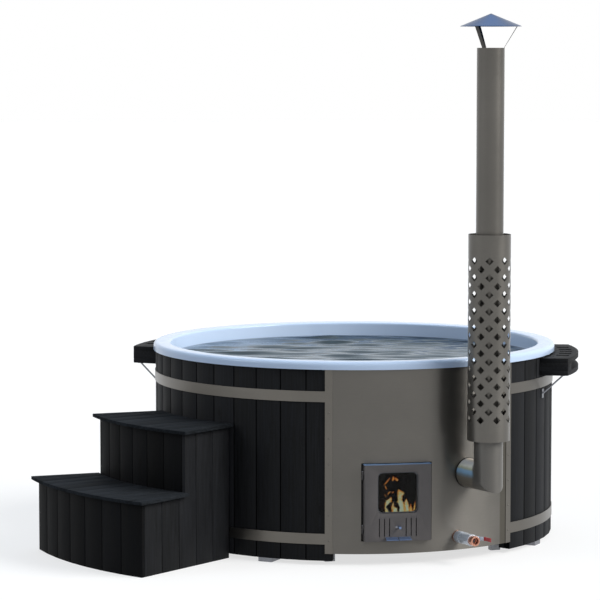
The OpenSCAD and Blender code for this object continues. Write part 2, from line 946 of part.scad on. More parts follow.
// Square prism with rounded upright corners, lying along the outward direction
module rounded_window(w, r, y0, y1) {
    z = window_z + window_w / 2;
    block(-w / 2, w / 2, y0, y1, z - w / 2 + r, z + w / 2 - r);
    block(r - w / 2, w / 2 - r, y0, y1, z - w / 2, z + w / 2);
    for (sx = [-1, 1], sz = [-1, 1])
        outward_bar(r, y0, y1, z + sz * (w / 2 - r), sx * (w / 2 - r));
}

// Places of the six air slots across the leaf
function air_places() = [for (side = [-1, 1], i = [0:2]) side * (air_first + i * air_pitch)];

// Pressed leaf: a front plate with a rim, a window, air slots and the moving hinge knuckles
module door_leaf() {
    color("#6f6c6a")
        at_angle(door_a)
            difference() {
                union() {
                    block(-door_w / 2, door_w / 2, door_back_y, door_face, door_z,
                        door_z + door_h);
                    for (z = [hinge_low_z, hinge_high_z])
                        translate([0, 0, z + knuckle_h + layer]) {
                            block(hinge_x, -door_w / 2, hinge_y - knuckle_r / 2,
                                hinge_y + knuckle_r / 2, 0, knuckle_h);
                            translate([hinge_x, -hinge_y, 0])
                                cylinder(r = knuckle_r, h = knuckle_h);
                        }
                }
                block(sheet_t - door_w / 2, door_w / 2 - sheet_t, door_back_y - over,
                    door_face - sheet_t, door_z + sheet_t, door_z + door_h - sheet_t);
                rounded_window(window_w, window_round, door_back_y, door_face + over);
                for (x = air_places())
                    block(x - air_slot_w / 2, x + air_slot_w / 2, door_back_y,
                        door_face + over, air_slot_z, air_slot_z + air_slot_l);
                block(knob_x - air_travel, knob_x, door_back_y, door_face + over,
                    knob_z - knob_r - hole_play, knob_z + knob_r + hole_play);
                for (x = [knob_x - air_travel, knob_x])
                    outward_bar(knob_r + hole_play, door_back_y, door_face + over, knob_z, x);
                for (z = [hinge_low_z, hinge_high_z])
                    translate([hinge_x, -hinge_y, z])
                        cylinder(r = pin_r + run, h = 2 * knuckle_h + over);
            }
}

// Inner plate of the leaf, open round the window and over the air slide
module door_back() {
    w = door_w - 2 * sheet_t - 2 * layer;
    h = door_h - 2 * sheet_t - 2 * layer;
    color("#5a5a5c")
        at_angle(door_a)
            difference() {
                block(-w / 2, w / 2, door_back_y, door_back_y + sheet_t, door_mid_z - h / 2,
                    door_mid_z + h / 2);
                rounded_window(window_w, window_round, door_back_y - over,
                    door_back_y + sheet_t + over);
                block(-slide_w / 2, slide_w / 2, door_back_y - over,
                    door_back_y + sheet_t + over, slide_z + guide_w, slide_z + slide_h / 2);
            }
}

// Depths of the layers behind the front plate
glass_y1 = door_face - sheet_t - layer;
glass_y0 = glass_y1 - glass_t;

module door_glass() {
    color([0.12, 0.12, 0.13, 0.5])
        at_angle(door_a)
            rounded_window(window_w + 2 * glass_lap, window_round, glass_y0, glass_y1);
}

// Retainer that holds the glass against the front plate
module glass_frame() {
    color("#8a8a8c")
        at_angle(door_a)
            difference() {
                rounded_window(window_w + 2 * glass_lap + 2 * frame_t, window_round,
                    glass_y0 - frame_t, door_face - sheet_t);
                rounded_window(window_w + 2 * glass_lap + 2 * layer, window_round,
                    glass_y0 - layer, door_face);
                rounded_window(window_w - glass_lap, window_round, door_back_y, door_face);
            }
}

// Rope seal on the leaf's back, which closes against the neck's flange
module door_seal() {
    color("#3b3b3b")
        at_angle(door_a)
            upright_frame(door_w - 2 * seal_margin, door_h - 2 * seal_margin, seal_w,
                flange_y + layer, door_back_y);
}

// Two bent lips near the leaf's lower edge, with a slit between them
module ash_lip() {
    half = (lip_w - lip_slit) / 2;
    color("#9a9894")
        at_angle(door_a)
            for (x = [-lip_w / 2, lip_slit / 2])
                translate([x, 0, 0])
                    rotate([90, 0, 90])
                        linear_extrude(half)
                            polygon([
                                [-door_face, lip_z], [-door_face - lip_out, lip_z - lip_drop],
                                [-door_face - lip_out, lip_z - lip_drop - lip_t],
                                [-door_face, lip_z - lip_t]]);
}

// Frame that the air slide runs in, open over the slots
module slide_guides() {
    w = slide_w / 2 + air_travel + layer;
    back = door_face - sheet_t - slide_t - 2 * layer;
    color("#8a8a8c")
        at_angle(door_a) {
            difference() {
                block(-w - guide_w, w + guide_w, back - guide_t, back, slide_z - guide_w,
                    slide_z + slide_h - layer);
                block(-w, w, back - guide_t - over, back + over, slide_z + guide_lap,
                    slide_z + slide_h - layer - guide_w);
            }
            block(-w - guide_w, w + guide_w, back, door_face - sheet_t, slide_z - guide_w,
                slide_z - layer);
            for (x = [-w - guide_w, w])
                block(x, x + guide_w, back, door_face - sheet_t, slide_z - guide_w,
                    slide_z + slide_h - layer);
        }
}

// Slotted plate behind the leaf's air slots
module air_slide() {
    y1 = door_face - sheet_t - layer;
    color("#8a8a8c")
        at_angle(door_a)
            difference() {
                block(-slide_w / 2, slide_w / 2, y1 - slide_t, y1, slide_z,
                    slide_z + slide_h - layer);
                for (x = air_places())
                    block(x - slide_slot_w / 2, x + slide_slot_w / 2, y1 - slide_t - over,
                        y1 + over, air_slot_z, air_slot_z + air_slot_l);
            }
}

// Pull knob on the air slide
module air_knob() {
    y1 = door_face - sheet_t - layer;
    color("silver")
        at_angle(door_a) {
            outward_bar(knob_r, y1, door_face + knob_out - knob_r, knob_z, knob_x);
            outward_bar(knob_r + knob_lip, door_face + knob_out - knob_r,
                door_face + knob_out, knob_z, knob_x);
        }
}

module at_flue() {
    translate([flue_dist * sin(flue_a), -flue_dist * cos(flue_a), 0]) children();
}

// Half space on one side of the elbow's mitre
module mitre_half(up) {
    size = 2 * (flue_dist - neck_y) + 4 * elbow_r;
    translate([0, -flue_dist, outlet_z])
        rotate([45, 0, 0])
            translate([-size / 2, -size / 2, up ? 0 : -size])
                cube(size);
}

// Solid bent bar of the elbow's shape, longer by extra at each end
module elbow_bar(r, extra) {
    intersection() {
        outward_bar(r, smoke_r1 - fire_t / 2 - extra, flue_dist + 2 * elbow_r, outlet_z);
        mitre_half(false);
    }
    intersection() {
        translate([0, -flue_dist, outlet_z - 2 * elbow_r])
            cylinder(r = r, h = elbow_top_z - outlet_z + 2 * elbow_r + extra);
        mitre_half(true);
    }
}

// Mitred elbow from the smoke box out through the panel and up
module flue_elbow() {
    color("#96918a")
        at_angle(flue_a)
            difference() {
                elbow_bar(elbow_r, 0);
                elbow_bar(elbow_in_r, over);
            }
}

// Slip collar on the elbow in the panel's hole
module flue_collar() {
    color("silver")
        at_angle(flue_a)
            difference() {
                outward_bar(elbow_r + collar_w, panel_out_r + layer,
                    panel_out_r + collar_out, outlet_z);
                outward_bar(elbow_r + layer, tub_r, panel_out_r + collar_out + over,
                    outlet_z);
            }
}

// First length of pipe, with a shoulder on the elbow's rim and a spigot inside it
module flue_lower() {
    z = elbow_top_z;
    spigot_r = elbow_in_r - run;
    color("#96918a")
        at_flue()
            rotate_extrude()
                polygon([
                    [spigot_r - flue_t, z - sleeve_l], [spigot_r, z - sleeve_l],
                    [spigot_r, z], [elbow_r, z], [elbow_r, z + flue_t], [flue_r, z + flue_t],
                    [flue_r, lower_top_z], [flue_in_r, lower_top_z], [flue_in_r, z],
                    [spigot_r - flue_t, z]]);
}

// Second length of pipe, with a reduced spigot inside the first
module flue_upper() {
    z = lower_top_z;
    spigot_r = flue_in_r - run;
    color("#96918a")
        at_flue()
            rotate_extrude()
                polygon([
                    [spigot_r - flue_t, z - sleeve_l], [spigot_r, z - sleeve_l],
                    [spigot_r, z], [flue_r, z], [flue_r, flue_top_z], [flue_in_r, flue_top_z],
                    [flue_in_r, z + flue_t], [spigot_r - flue_t, z + flue_t]]);
}

// Guard tube with staggered columns of diamond holes
module heat_guard() {
    color("#a39e96")
        at_flue()
            difference() {
                ring(guard_r - guard_t, guard_r, guard_z, guard_z + guard_h, 96);
                for (c = [0:guard_cols - 1], i = [0:guard_rows - 1])
                    rotate([0, 0, guard_a + c * 360 / guard_cols])
                        translate([0, 0, guard_z + guard_h - guard_top_margin
                            - (i + (c % 2) / 2) * guard_pitch])
                            rotate([90, 0, 0])
                                linear_extrude(guard_r + over)
                                    polygon([
                                        [diamond_w / 2, 0], [0, diamond_h / 2],
                                        [-diamond_w / 2, 0], [0, -diamond_h / 2]]);
            }
}

// Distance blocks between the flue and its guard
module guard_spacers() {
    in_r = guard_r - guard_t;
    color("silver")
        at_flue()
            for (level = spacer_levels, a = [0:120:240])
                rotate([0, 0, guard_a + 180 / guard_cols + a])
                    block(-spacer_w / 2, spacer_w / 2, flue_r + run,
                        sqrt(in_r * in_r - spacer_w * spacer_w / 4) - run,
                        guard_z + level - spacer_h / 2, guard_z + level + spacer_h / 2);
}

// Shallow cone over the flue
module rain_cap() {
    color("#a8b2bd")
        at_flue()
            rotate_extrude()
                polygon([
                    [0, cap_z + cap_h], [cap_r, cap_z + cap_t], [cap_r, cap_z],
                    [cap_r - cap_t, cap_z], [0, cap_z + cap_h - cap_t]]);
}

// Height of the rain cap's underside at radius r
function cap_under(r) = cap_z + (cap_h - cap_t) * (1 - r / (cap_r - cap_t)) - run;

// Flat straps from inside the flue's mouth to the rain cap
module cap_straps() {
    fold = sqrt(flue_in_r * flue_in_r - strap_w * strap_w / 4) - run;
    t = strap_plate_t;
    color("#8a857c")
        at_flue()
            for (a = strap_azimuths)
                rotate([0, 0, a])
                    translate([-strap_w / 2, 0, 0])
                        rotate([90, 0, 90])
                            linear_extrude(strap_w)
                                polygon([
                                    [-fold, flue_top_z - strap_tail], [-fold, flue_top_z],
                                    [-strap_reach, cap_under(strap_reach)],
                                    [2 * t - strap_reach, cap_under(strap_reach - 2 * t)],
                                    [t - fold, flue_top_z],
                                    [t - fold, flue_top_z - strap_tail]]);
}

// Pipe from the foot well's wall out through the panel
module drain_pipe() {
    color("#b08d57")
        at_angle(drain_a)
            difference() {
                outward_bar(drain_r, grille_back(drain_grille_r) + layer, union_y, drain_z);
                outward_bar(drain_r - drain_wall, well_r / 2, union_y + over, drain_z);
            }
}

// Bar of six sides along the outward direction
module outward_hex(r, y0, y1, z) {
    translate([0, -y0, z]) rotate([90, 0, 0]) cylinder(r = r, h = y1 - y0, $fn = 6);
}

// Brass back nut against the panel
module wall_nut() {
    color("#c08552")
        at_angle(drain_a)
            difference() {
                outward_bar(union_r, panel_out_r + layer, union_y0 - layer, drain_z);
                outward_bar(drain_r + run, tub_r, union_y, drain_z);
            }
}

// Nickel coupling on the drain pipe
module drain_union() {
    color("#a9b4c0")
        at_angle(drain_a)
            difference() {
                union() {
                    outward_bar(union_r, union_y0, union_y, drain_z);
                    outward_bar(body_r - bevel, union_y, body_y0, drain_z);
                }
                outward_bar(drain_r + run, tub_r, union_y, drain_z);
                outward_bar(bore_r, tub_r, body_y0 + over, drain_z);
            }
}

// Ball valve housing with its stem boss to the right
module valve_body() {
    color("#a9b4c0")
        at_angle(drain_a)
            difference() {
                union() {
                    outward_hex(hex_r, body_y0, body_y0 + hex_l, drain_z);
                    outward_bar(body_r, body_y0, body_y1, drain_z);
                    outward_hex(hex_r, body_y1 - hex_l, body_y1, drain_z);
                    translate([0, -ball_y, drain_z])
                        rotate([0, 90, 0]) cylinder(r = boss_r, h = boss_l);
                }
                outward_bar(bore_r, body_y0 - over, body_y1 + over, drain_z);
                translate([0, -ball_y, drain_z]) sphere(r = ball_r + ball_play);
                translate([0, -ball_y, drain_z])
                    rotate([0, 90, 0]) cylinder(r = stem_r + run, h = boss_l + over);
            }
}

// Nut that presses the stem's packing
module packing_nut() {
    color("#8f9aa6")
        at_angle(drain_a)
            translate([boss_l, -ball_y, drain_z])
                rotate([0, 90, 0])
                    difference() {
                        cylinder(r = packing_r, h = packing_l, $fn = 6);
                        translate([0, 0, -over])
                            cylinder(r = stem_r + run, h = packing_l + 2 * over);
                    }
}

// Brass outlet with the bore that a hose tail screws into
module valve_outlet() {
    color("#b87852")
        at_angle(drain_a)
            difference() {
                outward_bar(outlet_r, body_y1, outlet_dist, drain_z);
                outward_bar(outlet_bore_r, outlet_dist - outlet_bore_l, outlet_dist + over,
                    drain_z);
                outward_bar(bore_r, body_y1 - over, outlet_dist + over, drain_z);
            }
}

module valve_ball() {
    edge_a = acos(bore_r / ball_r);
    color("silver")
        at_angle(drain_a)
            translate([0, -ball_y, drain_z])
                rotate([90, 0, 0])
                    rotate_extrude()
                        polygon([for (i = [0:ball_steps])
                            let (a = edge_a * (2 * i / ball_steps - 1))
                            [ball_r * cos(a), ball_r * sin(a)]]);
}

module valve_stem() {
    color("silver")
        at_angle(drain_a)
            translate([ball_r + run, -ball_y, drain_z])
                rotate([0, 90, 0]) cylinder(r = stem_r, h = stem_l - ball_r);
}

// Cranked lever: a flat strip that steps away from the housing and points to the outlet
module valve_lever() {
    color("#b5202b")
        at_angle(drain_a)
            difference() {
                translate([0, 0, drain_z - lever_w / 2])
                    linear_extrude(lever_w)
                        polygon([
                            [lever_near, lever_w / 2 - ball_y], [lever_near, -ball_y - lever_bend0],
                            [lever_far, -ball_y - lever_bend1], [lever_far, -ball_y - lever_l],
                            [lever_far + lever_t, -ball_y - lever_l],
                            [lever_far + lever_t, -ball_y - lever_bend1 + lever_t / 2],
                            [lever_near + lever_t, -ball_y - lever_bend0 + lever_t / 2],
                            [lever_near + lever_t, lever_w / 2 - ball_y]]);
                translate([lever_near - over, -ball_y, drain_z])
                    rotate([0, 90, 0]) cylinder(r = stem_r + run, h = lever_t + 2 * over);
            }
}

module lever_nut() {
    color("silver")
        at_angle(drain_a)
            translate([lever_near + lever_t, -ball_y, drain_z])
                rotate([0, 90, 0])
                    difference() {
                        cylinder(r = nut_r, h = nut_l, $fn = 6);
                        translate([0, 0, -over])
                            cylinder(r = stem_r + run, h = nut_l + 2 * over);
                    }
}

// Part of the shelf's outline between two places along it, at the given heights
module shelf_piece(x0, x1, z0, z1) {
    difference() {
        intersection() {
            translate([0, 0, z0]) cylinder(r = shelf_out_r, h = z1 - z0, $fn = ring_fn);
            block(x0, x1, tub_r / 2, shelf_out_r + over, z0 - over, z1 + over);
        }
        translate([0, 0, z0 - over])
            cylinder(r = shelf_in_r, h = z1 - z0 + 2 * over, $fn = ring_fn);
    }
}

// Upper boards with slots whose ends follow the tub's curve
module shelf_tops() {
    color("#2a2b2f")
        for (a = shelf_angles)
            at_angle(a)
                difference() {
                    shelf_piece(-shelf_l / 2, shelf_l / 2, shelf_z - shelf_t, shelf_z);
                    intersection() {
                        ring(shelf_slot_r0, shelf_slot_r1, shelf_z - shelf_t - over,
                            shelf_z + over);
                        for (i = [0:shelf_slots - 1])
                            translate([(i - (shelf_slots - 1) / 2) * shelf_slot_pitch, 0, 0])
                                block(-shelf_slot_w / 2, shelf_slot_w / 2, tub_r / 2,
                                    shelf_out_r, shelf_z - shelf_t - over, shelf_z + over);
                    }
                }
}

module shelf_bottoms() {
    color("#2a2b2f")
        for (a = shelf_angles)
            at_angle(a)
                shelf_piece(-shelf_l / 2, shelf_l / 2, shelf_z - shelf_h,
                    shelf_z - shelf_h + shelf_t);
}

// Blocks between the two boards at each end of a shelf
module shelf_ends() {
    color("#222326")
        for (a = shelf_angles, x = [-shelf_l / 2, shelf_l / 2 - shelf_end_w])
            at_angle(a)
                shelf_piece(x, x + shelf_end_w, shelf_z - shelf_h + shelf_t,
                    shelf_z - shelf_t);
}

// Round bar between two points
module rod(p0, p1, r) {
    d = p1 - p0;
    translate(p0)
        rotate([0, acos(d[2] / norm(d)), atan2(d[1], d[0])])
            cylinder(r = r, h = norm(d));
}

// Slanted rods under the shelves, each with a plate at the wall and at the shelf
module shelf_braces() {
    under = shelf_z - shelf_h;
    wall_a = asin(brace_x / tub_r);
    face_r = tub_r + fit + brace_plate_t;
    color("silver")
        for (a = shelf_angles, side = [-1, 1])
            at_angle(a) {
                foot = concat(side_point(face_r, side * wall_a, 0), [under - brace_rise]);
                head = [foot[0], foot[1] - brace_reach, under - brace_plate_t];
                rod(foot, head, brace_r);
                at_angle(side * wall_a)
                    block(-brace_plate_w / 2, brace_plate_w / 2, tub_r + fit, face_r,
                        foot[2] - brace_plate_h / 2, foot[2] + brace_plate_h / 2);
                block(head[0] - brace_plate_w / 2, head[0] + brace_plate_w / 2,
                    -head[1] - brace_plate_w / 2, -head[1] + brace_plate_w / 2,
                    under - brace_plate_t, under);
            }
}

// Heights of the treads' undersides
tread_low_under = tread_low_z - tread_t;
tread_high_under = tread_high_z - tread_t;

// Curved fronts of the two steps
module riser_boards() {
    inset_a = asin((board_t + fit) / (riser_high_r - board_t));
    color("#202124")
        at_angle(step_a) {
            board_ring(riser_low_boards, -step_half, step_half, riser_low_r, board_t, 0,
                tread_low_under, riser_tongue);
            board_ring(riser_high_boards, inset_a - step_half, step_half - inset_a,
                riser_high_r, board_t, tread_low_under - batten, tread_high_under,
                riser_tongue);
        }
}

// Upright boards of one side wall, notched round the lower tread
module side_wall() {
    end = (riser_low_r - board_t) * cos(step_half / riser_low_boards) - fit;
    pitch = (end - side_in_r) / side_board_count;
    g = board_gap / 2;
    difference() {
        for (i = [0:side_board_count - 1])
            let (y0 = side_in_r + i * pitch + g, y1 = side_in_r + (i + 1) * pitch - g)
                linear_extrude(tread_high_under)
                    polygon([
                        [-board_t, -y0], [-board_t, -y1], [-bevel, -y1], [0, bevel - y1],
                        [0, -bevel - y0], [-bevel, -y0]]);
        block(-board_t - over, over, riser_high_r, riser_low_r, tread_low_under,
            tread_high_under + over);
    }
}

module side_boards() {
    color("#2c2d30")
        at_angle(step_a)
            for (side = [0, 1])
                mirror([side, 0, 0])
                    at_angle(step_half)
                        side_wall();
}

// Sector-shaped tread, cut into boards that run from front to back
module tread(r0, r1, top, count) {
    lo_share = 0.9;
    hi_share = 1.1;
    width = 2 * (r1 * sin(step_half) + tread_side * cos(step_half));
    difference() {
        intersection() {
            ring(r0, r1, top - tread_t, top);
            translate([0, 0, top - tread_t - over])
                linear_extrude(tread_t + 2 * over)
                    polygon([
                        side_point(lo_share * r0, step_half, tread_side),
                        side_point(hi_share * r1, step_half, tread_side),
                        side_point(hi_share * r1, -step_half, -tread_side),
                        side_point(lo_share * r0, -step_half, -tread_side)]);
        }
        for (i = [1:count - 1])
            translate([i * width / count - width / 2, 0, 0])
                block(-tread_gap / 2, tread_gap / 2, lo_share * r0, hi_share * r1,
                    top - tread_t - over, top + over);
    }
}

module treads() {
    color("#30343c")
        at_angle(step_a) {
            tread(riser_high_r + fit, riser_low_r + tread_front, tread_low_z,
                tread_low_boards);
            tread(side_in_r, riser_high_r + tread_front, tread_high_z, tread_high_boards);
        }
}

// Battens and posts inside the steps
module step_frame() {
    x1 = -board_t - fit;
    back = side_in_r + fit;
    mid = riser_high_r - board_t - batten;
    front = (riser_low_r - board_t) * cos(step_half / riser_low_boards) - 4 * fit;
    color("tan")
        at_angle(step_a)
            for (side = [0, 1])
                mirror([side, 0, 0])
                    at_angle(step_half) {
                        block(x1 - batten, x1, back, mid, tread_high_under - batten,
                            tread_high_under);
                        block(x1 - batten, x1, riser_high_r + fit, front,
                            tread_low_under - batten, tread_low_under);
                        block(x1 - batten, x1, back, back + batten, 0,
                            tread_high_under - batten);
                        block(x1 - batten, x1, mid - batten, mid, 0,
                            tread_high_under - batten);
                        block(x1 - batten, x1, front - 2 * batten, front - batten, 0,
                            tread_low_under - batten);
                    }
}

liner();
rim_ring();
staves();
batten_rings();
hoop_upper();
hoop_lower();
front_panel();
panel_strips();
panel_posts();
strip_screws();
wall_posts();
base_rails();
bearers();
bench_props();
firebox();
water_jacket();
jacket_stays();
heater_stand();
fire_grate();
ash_pan();
baffle();
flow_pipes();
wall_grilles();
door_frame();
hinge_pins();
door_leaf();
door_back();
door_glass();
glass_frame();
door_seal();
ash_lip();
slide_guides();
air_slide();
air_knob();
flue_elbow();
flue_collar();
flue_lower();
flue_upper();
heat_guard();
guard_spacers();
rain_cap();
cap_straps();
drain_pipe();
wall_nut();
drain_union();
valve_body();
packing_nut();
valve_outlet();
valve_ball();
valve_stem();
valve_lever();
lever_nut();
shelf_tops();
shelf_bottoms();
shelf_ends();
shelf_braces();
riser_boards();
side_boards();
treads();
step_frame();
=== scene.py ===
"""Dresses the wood-fired hot tub: timber, steel and liner finishes, water, fire and a studio."""

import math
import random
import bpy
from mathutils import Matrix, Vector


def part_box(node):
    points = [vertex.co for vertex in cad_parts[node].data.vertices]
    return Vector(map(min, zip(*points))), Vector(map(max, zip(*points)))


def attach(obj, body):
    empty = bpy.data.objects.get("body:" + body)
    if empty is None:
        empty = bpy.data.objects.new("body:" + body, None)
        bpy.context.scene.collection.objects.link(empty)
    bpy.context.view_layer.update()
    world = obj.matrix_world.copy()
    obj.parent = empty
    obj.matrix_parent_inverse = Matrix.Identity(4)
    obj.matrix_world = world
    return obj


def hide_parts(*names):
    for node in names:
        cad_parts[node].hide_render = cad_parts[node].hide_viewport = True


bl_info = {
    "name": "Wood-fired Hot Tub",
    "version": (1, 0, 0),
    "blender": (4, 5, 0),
    "location": "3D View > Sidebar > Hot Tub",
    "description": "Finishes, water, fire, small fittings and a studio for a wooden hot tub",
    "category": "Object",
}

import bmesh
import bpy
from bpy.props import FloatProperty, FloatVectorProperty, IntProperty, PointerProperty
from mathutils import Vector

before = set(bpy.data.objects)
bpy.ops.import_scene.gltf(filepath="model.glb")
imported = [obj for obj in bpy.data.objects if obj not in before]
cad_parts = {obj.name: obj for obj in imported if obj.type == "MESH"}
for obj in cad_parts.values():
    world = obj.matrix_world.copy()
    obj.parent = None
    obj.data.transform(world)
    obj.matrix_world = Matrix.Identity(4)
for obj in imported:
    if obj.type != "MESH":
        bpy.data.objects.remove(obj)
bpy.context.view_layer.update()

# Lengths are in metres, and "out" is a distance from the tub's upright axis. Angles are in
# degrees, counted from -Y anticlockwise as seen from above.
DOOR_ANGLE = 10.75
FLUE_ANGLE = 31.72
FLUE_OUT = 1.17
DRAIN_ANGLE = 28.5

# Staves, from the panel's right edge round the back to its left edge. The seam's dark core and
# soft edge are shares of a stave.
STAVE_START = 47.81
STAVE_SPAN = 305.38
STAVES = 42
STAVE_PITCH = STAVE_SPAN / STAVES
SEAM = (0.018, 0.03)

# Boards of the steps: where two rows part, and each row's start and pitch or number of boards.
# The numbers that a row's boards are counted from keep the rows' tones apart.
STEP_ANGLE = -53.6
STEP_HALF = 16.2
RISER_SPLIT = 1.48
UPPER_RISER_INSET = 0.8
UPPER_RISERS = 6
LOWER_RISERS = 7
LOWER_RISER_FIRST = 20.0
SIDE_BOARDS = (1.0038, 0.1247)
SECOND_SIDE_FIRST = 30.0
TREAD_SPLIT = 0.5
LOWER_TREADS = (-0.49324, 0.08968)
UPPER_TREADS = (-0.40619, 0.10155)
UPPER_TREAD_FIRST = 40.0

# Boards of the shelves and uprights inside the wall. The uprights' pitch is in radians.
SHELF_OUT = 1.06
SHELF_SPLIT = 0.88
SECOND_SHELF_FIRST = 3.0
UPRIGHT_OUT = 0.95
UPRIGHT_PITCH = 0.4

# Painted reflections: the straw, blue and white bands on the stub between the panel and the flue,
# the dark band at the panel's edge and the sky-blue sheen on the strip under the door leaf's top.
# Also the lever's dipped end, which is its own red paint
STUB_RADII = (0.071, 0.079)
STUB_HEIGHTS = (0.356, 0.496)
EDGE_BAND = (43.4, 43.7)
DIP_OUT = (1.126, 1.128)
SKY_SHEEN_STRIP = (0.0035, 0.0025)

# Edges that turn more than this stay sharp, points nearer than this are one, and the metal
# fittings' and the lever's edges are rounded by these
SHARP_ANGLE = math.radians(35)
WELD_GAP = 1e-6
METAL_EDGE = 0.0006
LEVER_EDGE = 0.0005

# Water: the basin below it as radius and height, then its surface and its waves
BASIN = ((0.02, 0.0912), (0.538, 0.0912), (0.538, 0.56), (0.86, 0.56), (0.88, 0.6))
WATER_RADIUS = 0.9198
WATER_STEPS = 300
WATER_ROWS = 100
WAVES = 26
WAVE_SPREAD = 0.24
WAVE_NUMBERS = (20, 62)
WAVE_UNIT = 30
CALM_EDGE = 12

# Logs: both ends as out, sideways and height, and the radius
LOGS = (((0.74, -0.08, 0.198), (0.74, 0.075, 0.2), 0.03),
        ((0.85, -0.085, 0.197), (0.83, 0.08, 0.199), 0.029),
        ((0.71, -0.03, 0.252), (0.87, 0.02, 0.25), 0.026))
LOG_SIDES = 18
LOG_RINGS = 12

# Coal bed's corners as sideways and out, its height, its lumps' radius, and how many lumps to
# the square metre each one in the Coals property stands for
COAL_CORNERS = ((-0.085, 0.7), (0.085, 0.7), (0.085, 0.885), (-0.085, 0.885))
COAL_Z = 0.175
COAL_RADIUS = 0.011
COAL_DENSITY = 60.0

# Screws of the panel's strips: each row's angle, and how far its end screws lie inside its height
SCREW_ROWS = (("strip_heads_left", -7.81), ("strip_heads_right", 46.94))
SCREW_OUT = 1.0045
SCREWS = 7
SCREW_INSET = 0.004
HEAD_STEPS = 24
HEAD_PROFILE = ((0.002, 0.016), (0.002, 0.0), (0.0042, 0.0), (0.0042, -0.0005),
                (0.0036, -0.0013), (0.0024, -0.0019), (0.0012, -0.0021))

# Camera
CAMERA_PLACE = (-0.2713, -13.7018, 2.385)
CAMERA_TILT = 5.064
CAMERA_LENS = 163.44
CAMERA_SENSOR = 36.0
CAMERA_REACH = 200.0

# Lamps: name, strength, width in degrees, the side it stands on and its colour
LAMPS = (("key", 3.0, 36, (0.795, -0.24, 0.56), (1.0, 0.985, 0.96)),
         ("fill", 0.42, 24, (-0.824, -0.268, 0.5), (0.94, 0.97, 1.0)),
         ("sky", 0.7, 60, (0.05, 0.35, 0.95), (0.72, 0.86, 1.0)))

# Floor and surroundings: the tones that light the tub, and the white that is seen
FLOOR_REACH = 90
FLOOR_COLOUR = (0.34, 0.337, 0.33, 1)
FLOOR_LIFT = 0.69
SKY_COLOUR = (0.24, 0.28, 0.34, 1)
WHITE = (1, 1, 1, 1)
BLACK = (0.0, 0.0, 0.0)


def tone(red, green, blue):
    """Linear colour from display values of 0 to 255."""
    linear = []
    for value in (red, green, blue):
        share = value / 255
        linear.append(share / 12.92 if share <= 0.04045 else ((share + 0.055) / 1.055) ** 2.4)
    return linear


def shaded(colour, share):
    """Colour made darker or lighter by a share."""
    return [min(1.0, share * value) for value in colour]


def around(angle, out, side=0.0, z=0.0):
    """Point at a distance outwards from the tub's axis at an angle, moved sideways by side."""
    turn = math.radians(angle)
    return Vector((out * math.sin(turn) + side * math.cos(turn),
                   side * math.sin(turn) - out * math.cos(turn), z))


def colour_property(name, description, value):
    return FloatVectorProperty(name=name, description=description, subtype="COLOR",
                               size=3, min=0.0, max=1.0, default=value)


class TubColours(bpy.types.PropertyGroup):
    """Colours of the tub's finishes"""
    timber_dark: colour_property("Timber dark", "Darkest tone of the stained timber",
                                 tone(13, 14, 15))
    timber_light: colour_property("Timber light", "Lightest tone of the stained timber",
                                  tone(33, 34, 37))
    pine: colour_property("Pine", "Raw timber inside the wall", tone(186, 150, 106))
    steel: colour_property("Steel", "Satin stainless steel", tone(100, 97, 92))
    liner: colour_property("Liner", "Gel coat of the liner", tone(204, 224, 250))
    paint: colour_property("Paint", "Stove door's paint", tone(98, 94, 93))
    heater: colour_property("Heater", "Mill-finish steel of the heater", tone(62, 61, 62))
    brass: colour_property("Brass", "Drain pipe and outlet", tone(204, 148, 126))
    nickel: colour_property("Nickel", "Drain valve's housing", tone(206, 214, 224))
    lever: colour_property("Lever", "Paint on the valve's lever", tone(178, 24, 30))
    water: colour_property("Water", "Water in the tub", tone(35, 43, 43))


class TubSizes(bpy.types.PropertyGroup):
    """Sizes of the pieces that the solids don't hold"""
    water_level: FloatProperty(name="Water level", description="Height of the water",
                               default=0.899, min=0.6, max=0.93, unit="LENGTH")
    ripple: FloatProperty(name="Ripple", description="Height of the ripples",
                          default=0.0011, min=0.0, max=0.005, unit="LENGTH")
    edge: FloatProperty(name="Board edge", description="Rounding of the boards' edges",
                        default=0.0012, min=0.0, max=0.003, unit="LENGTH")
    coals: IntProperty(name="Coals", description="How densely coals lie on the grate",
                       default=70, min=5, max=200)
    seed: IntProperty(name="Seed", description="Seed of everything scattered", default=7)


def colours():
    return bpy.context.scene.tub_colours


def sizes():
    return bpy.context.scene.tub_sizes


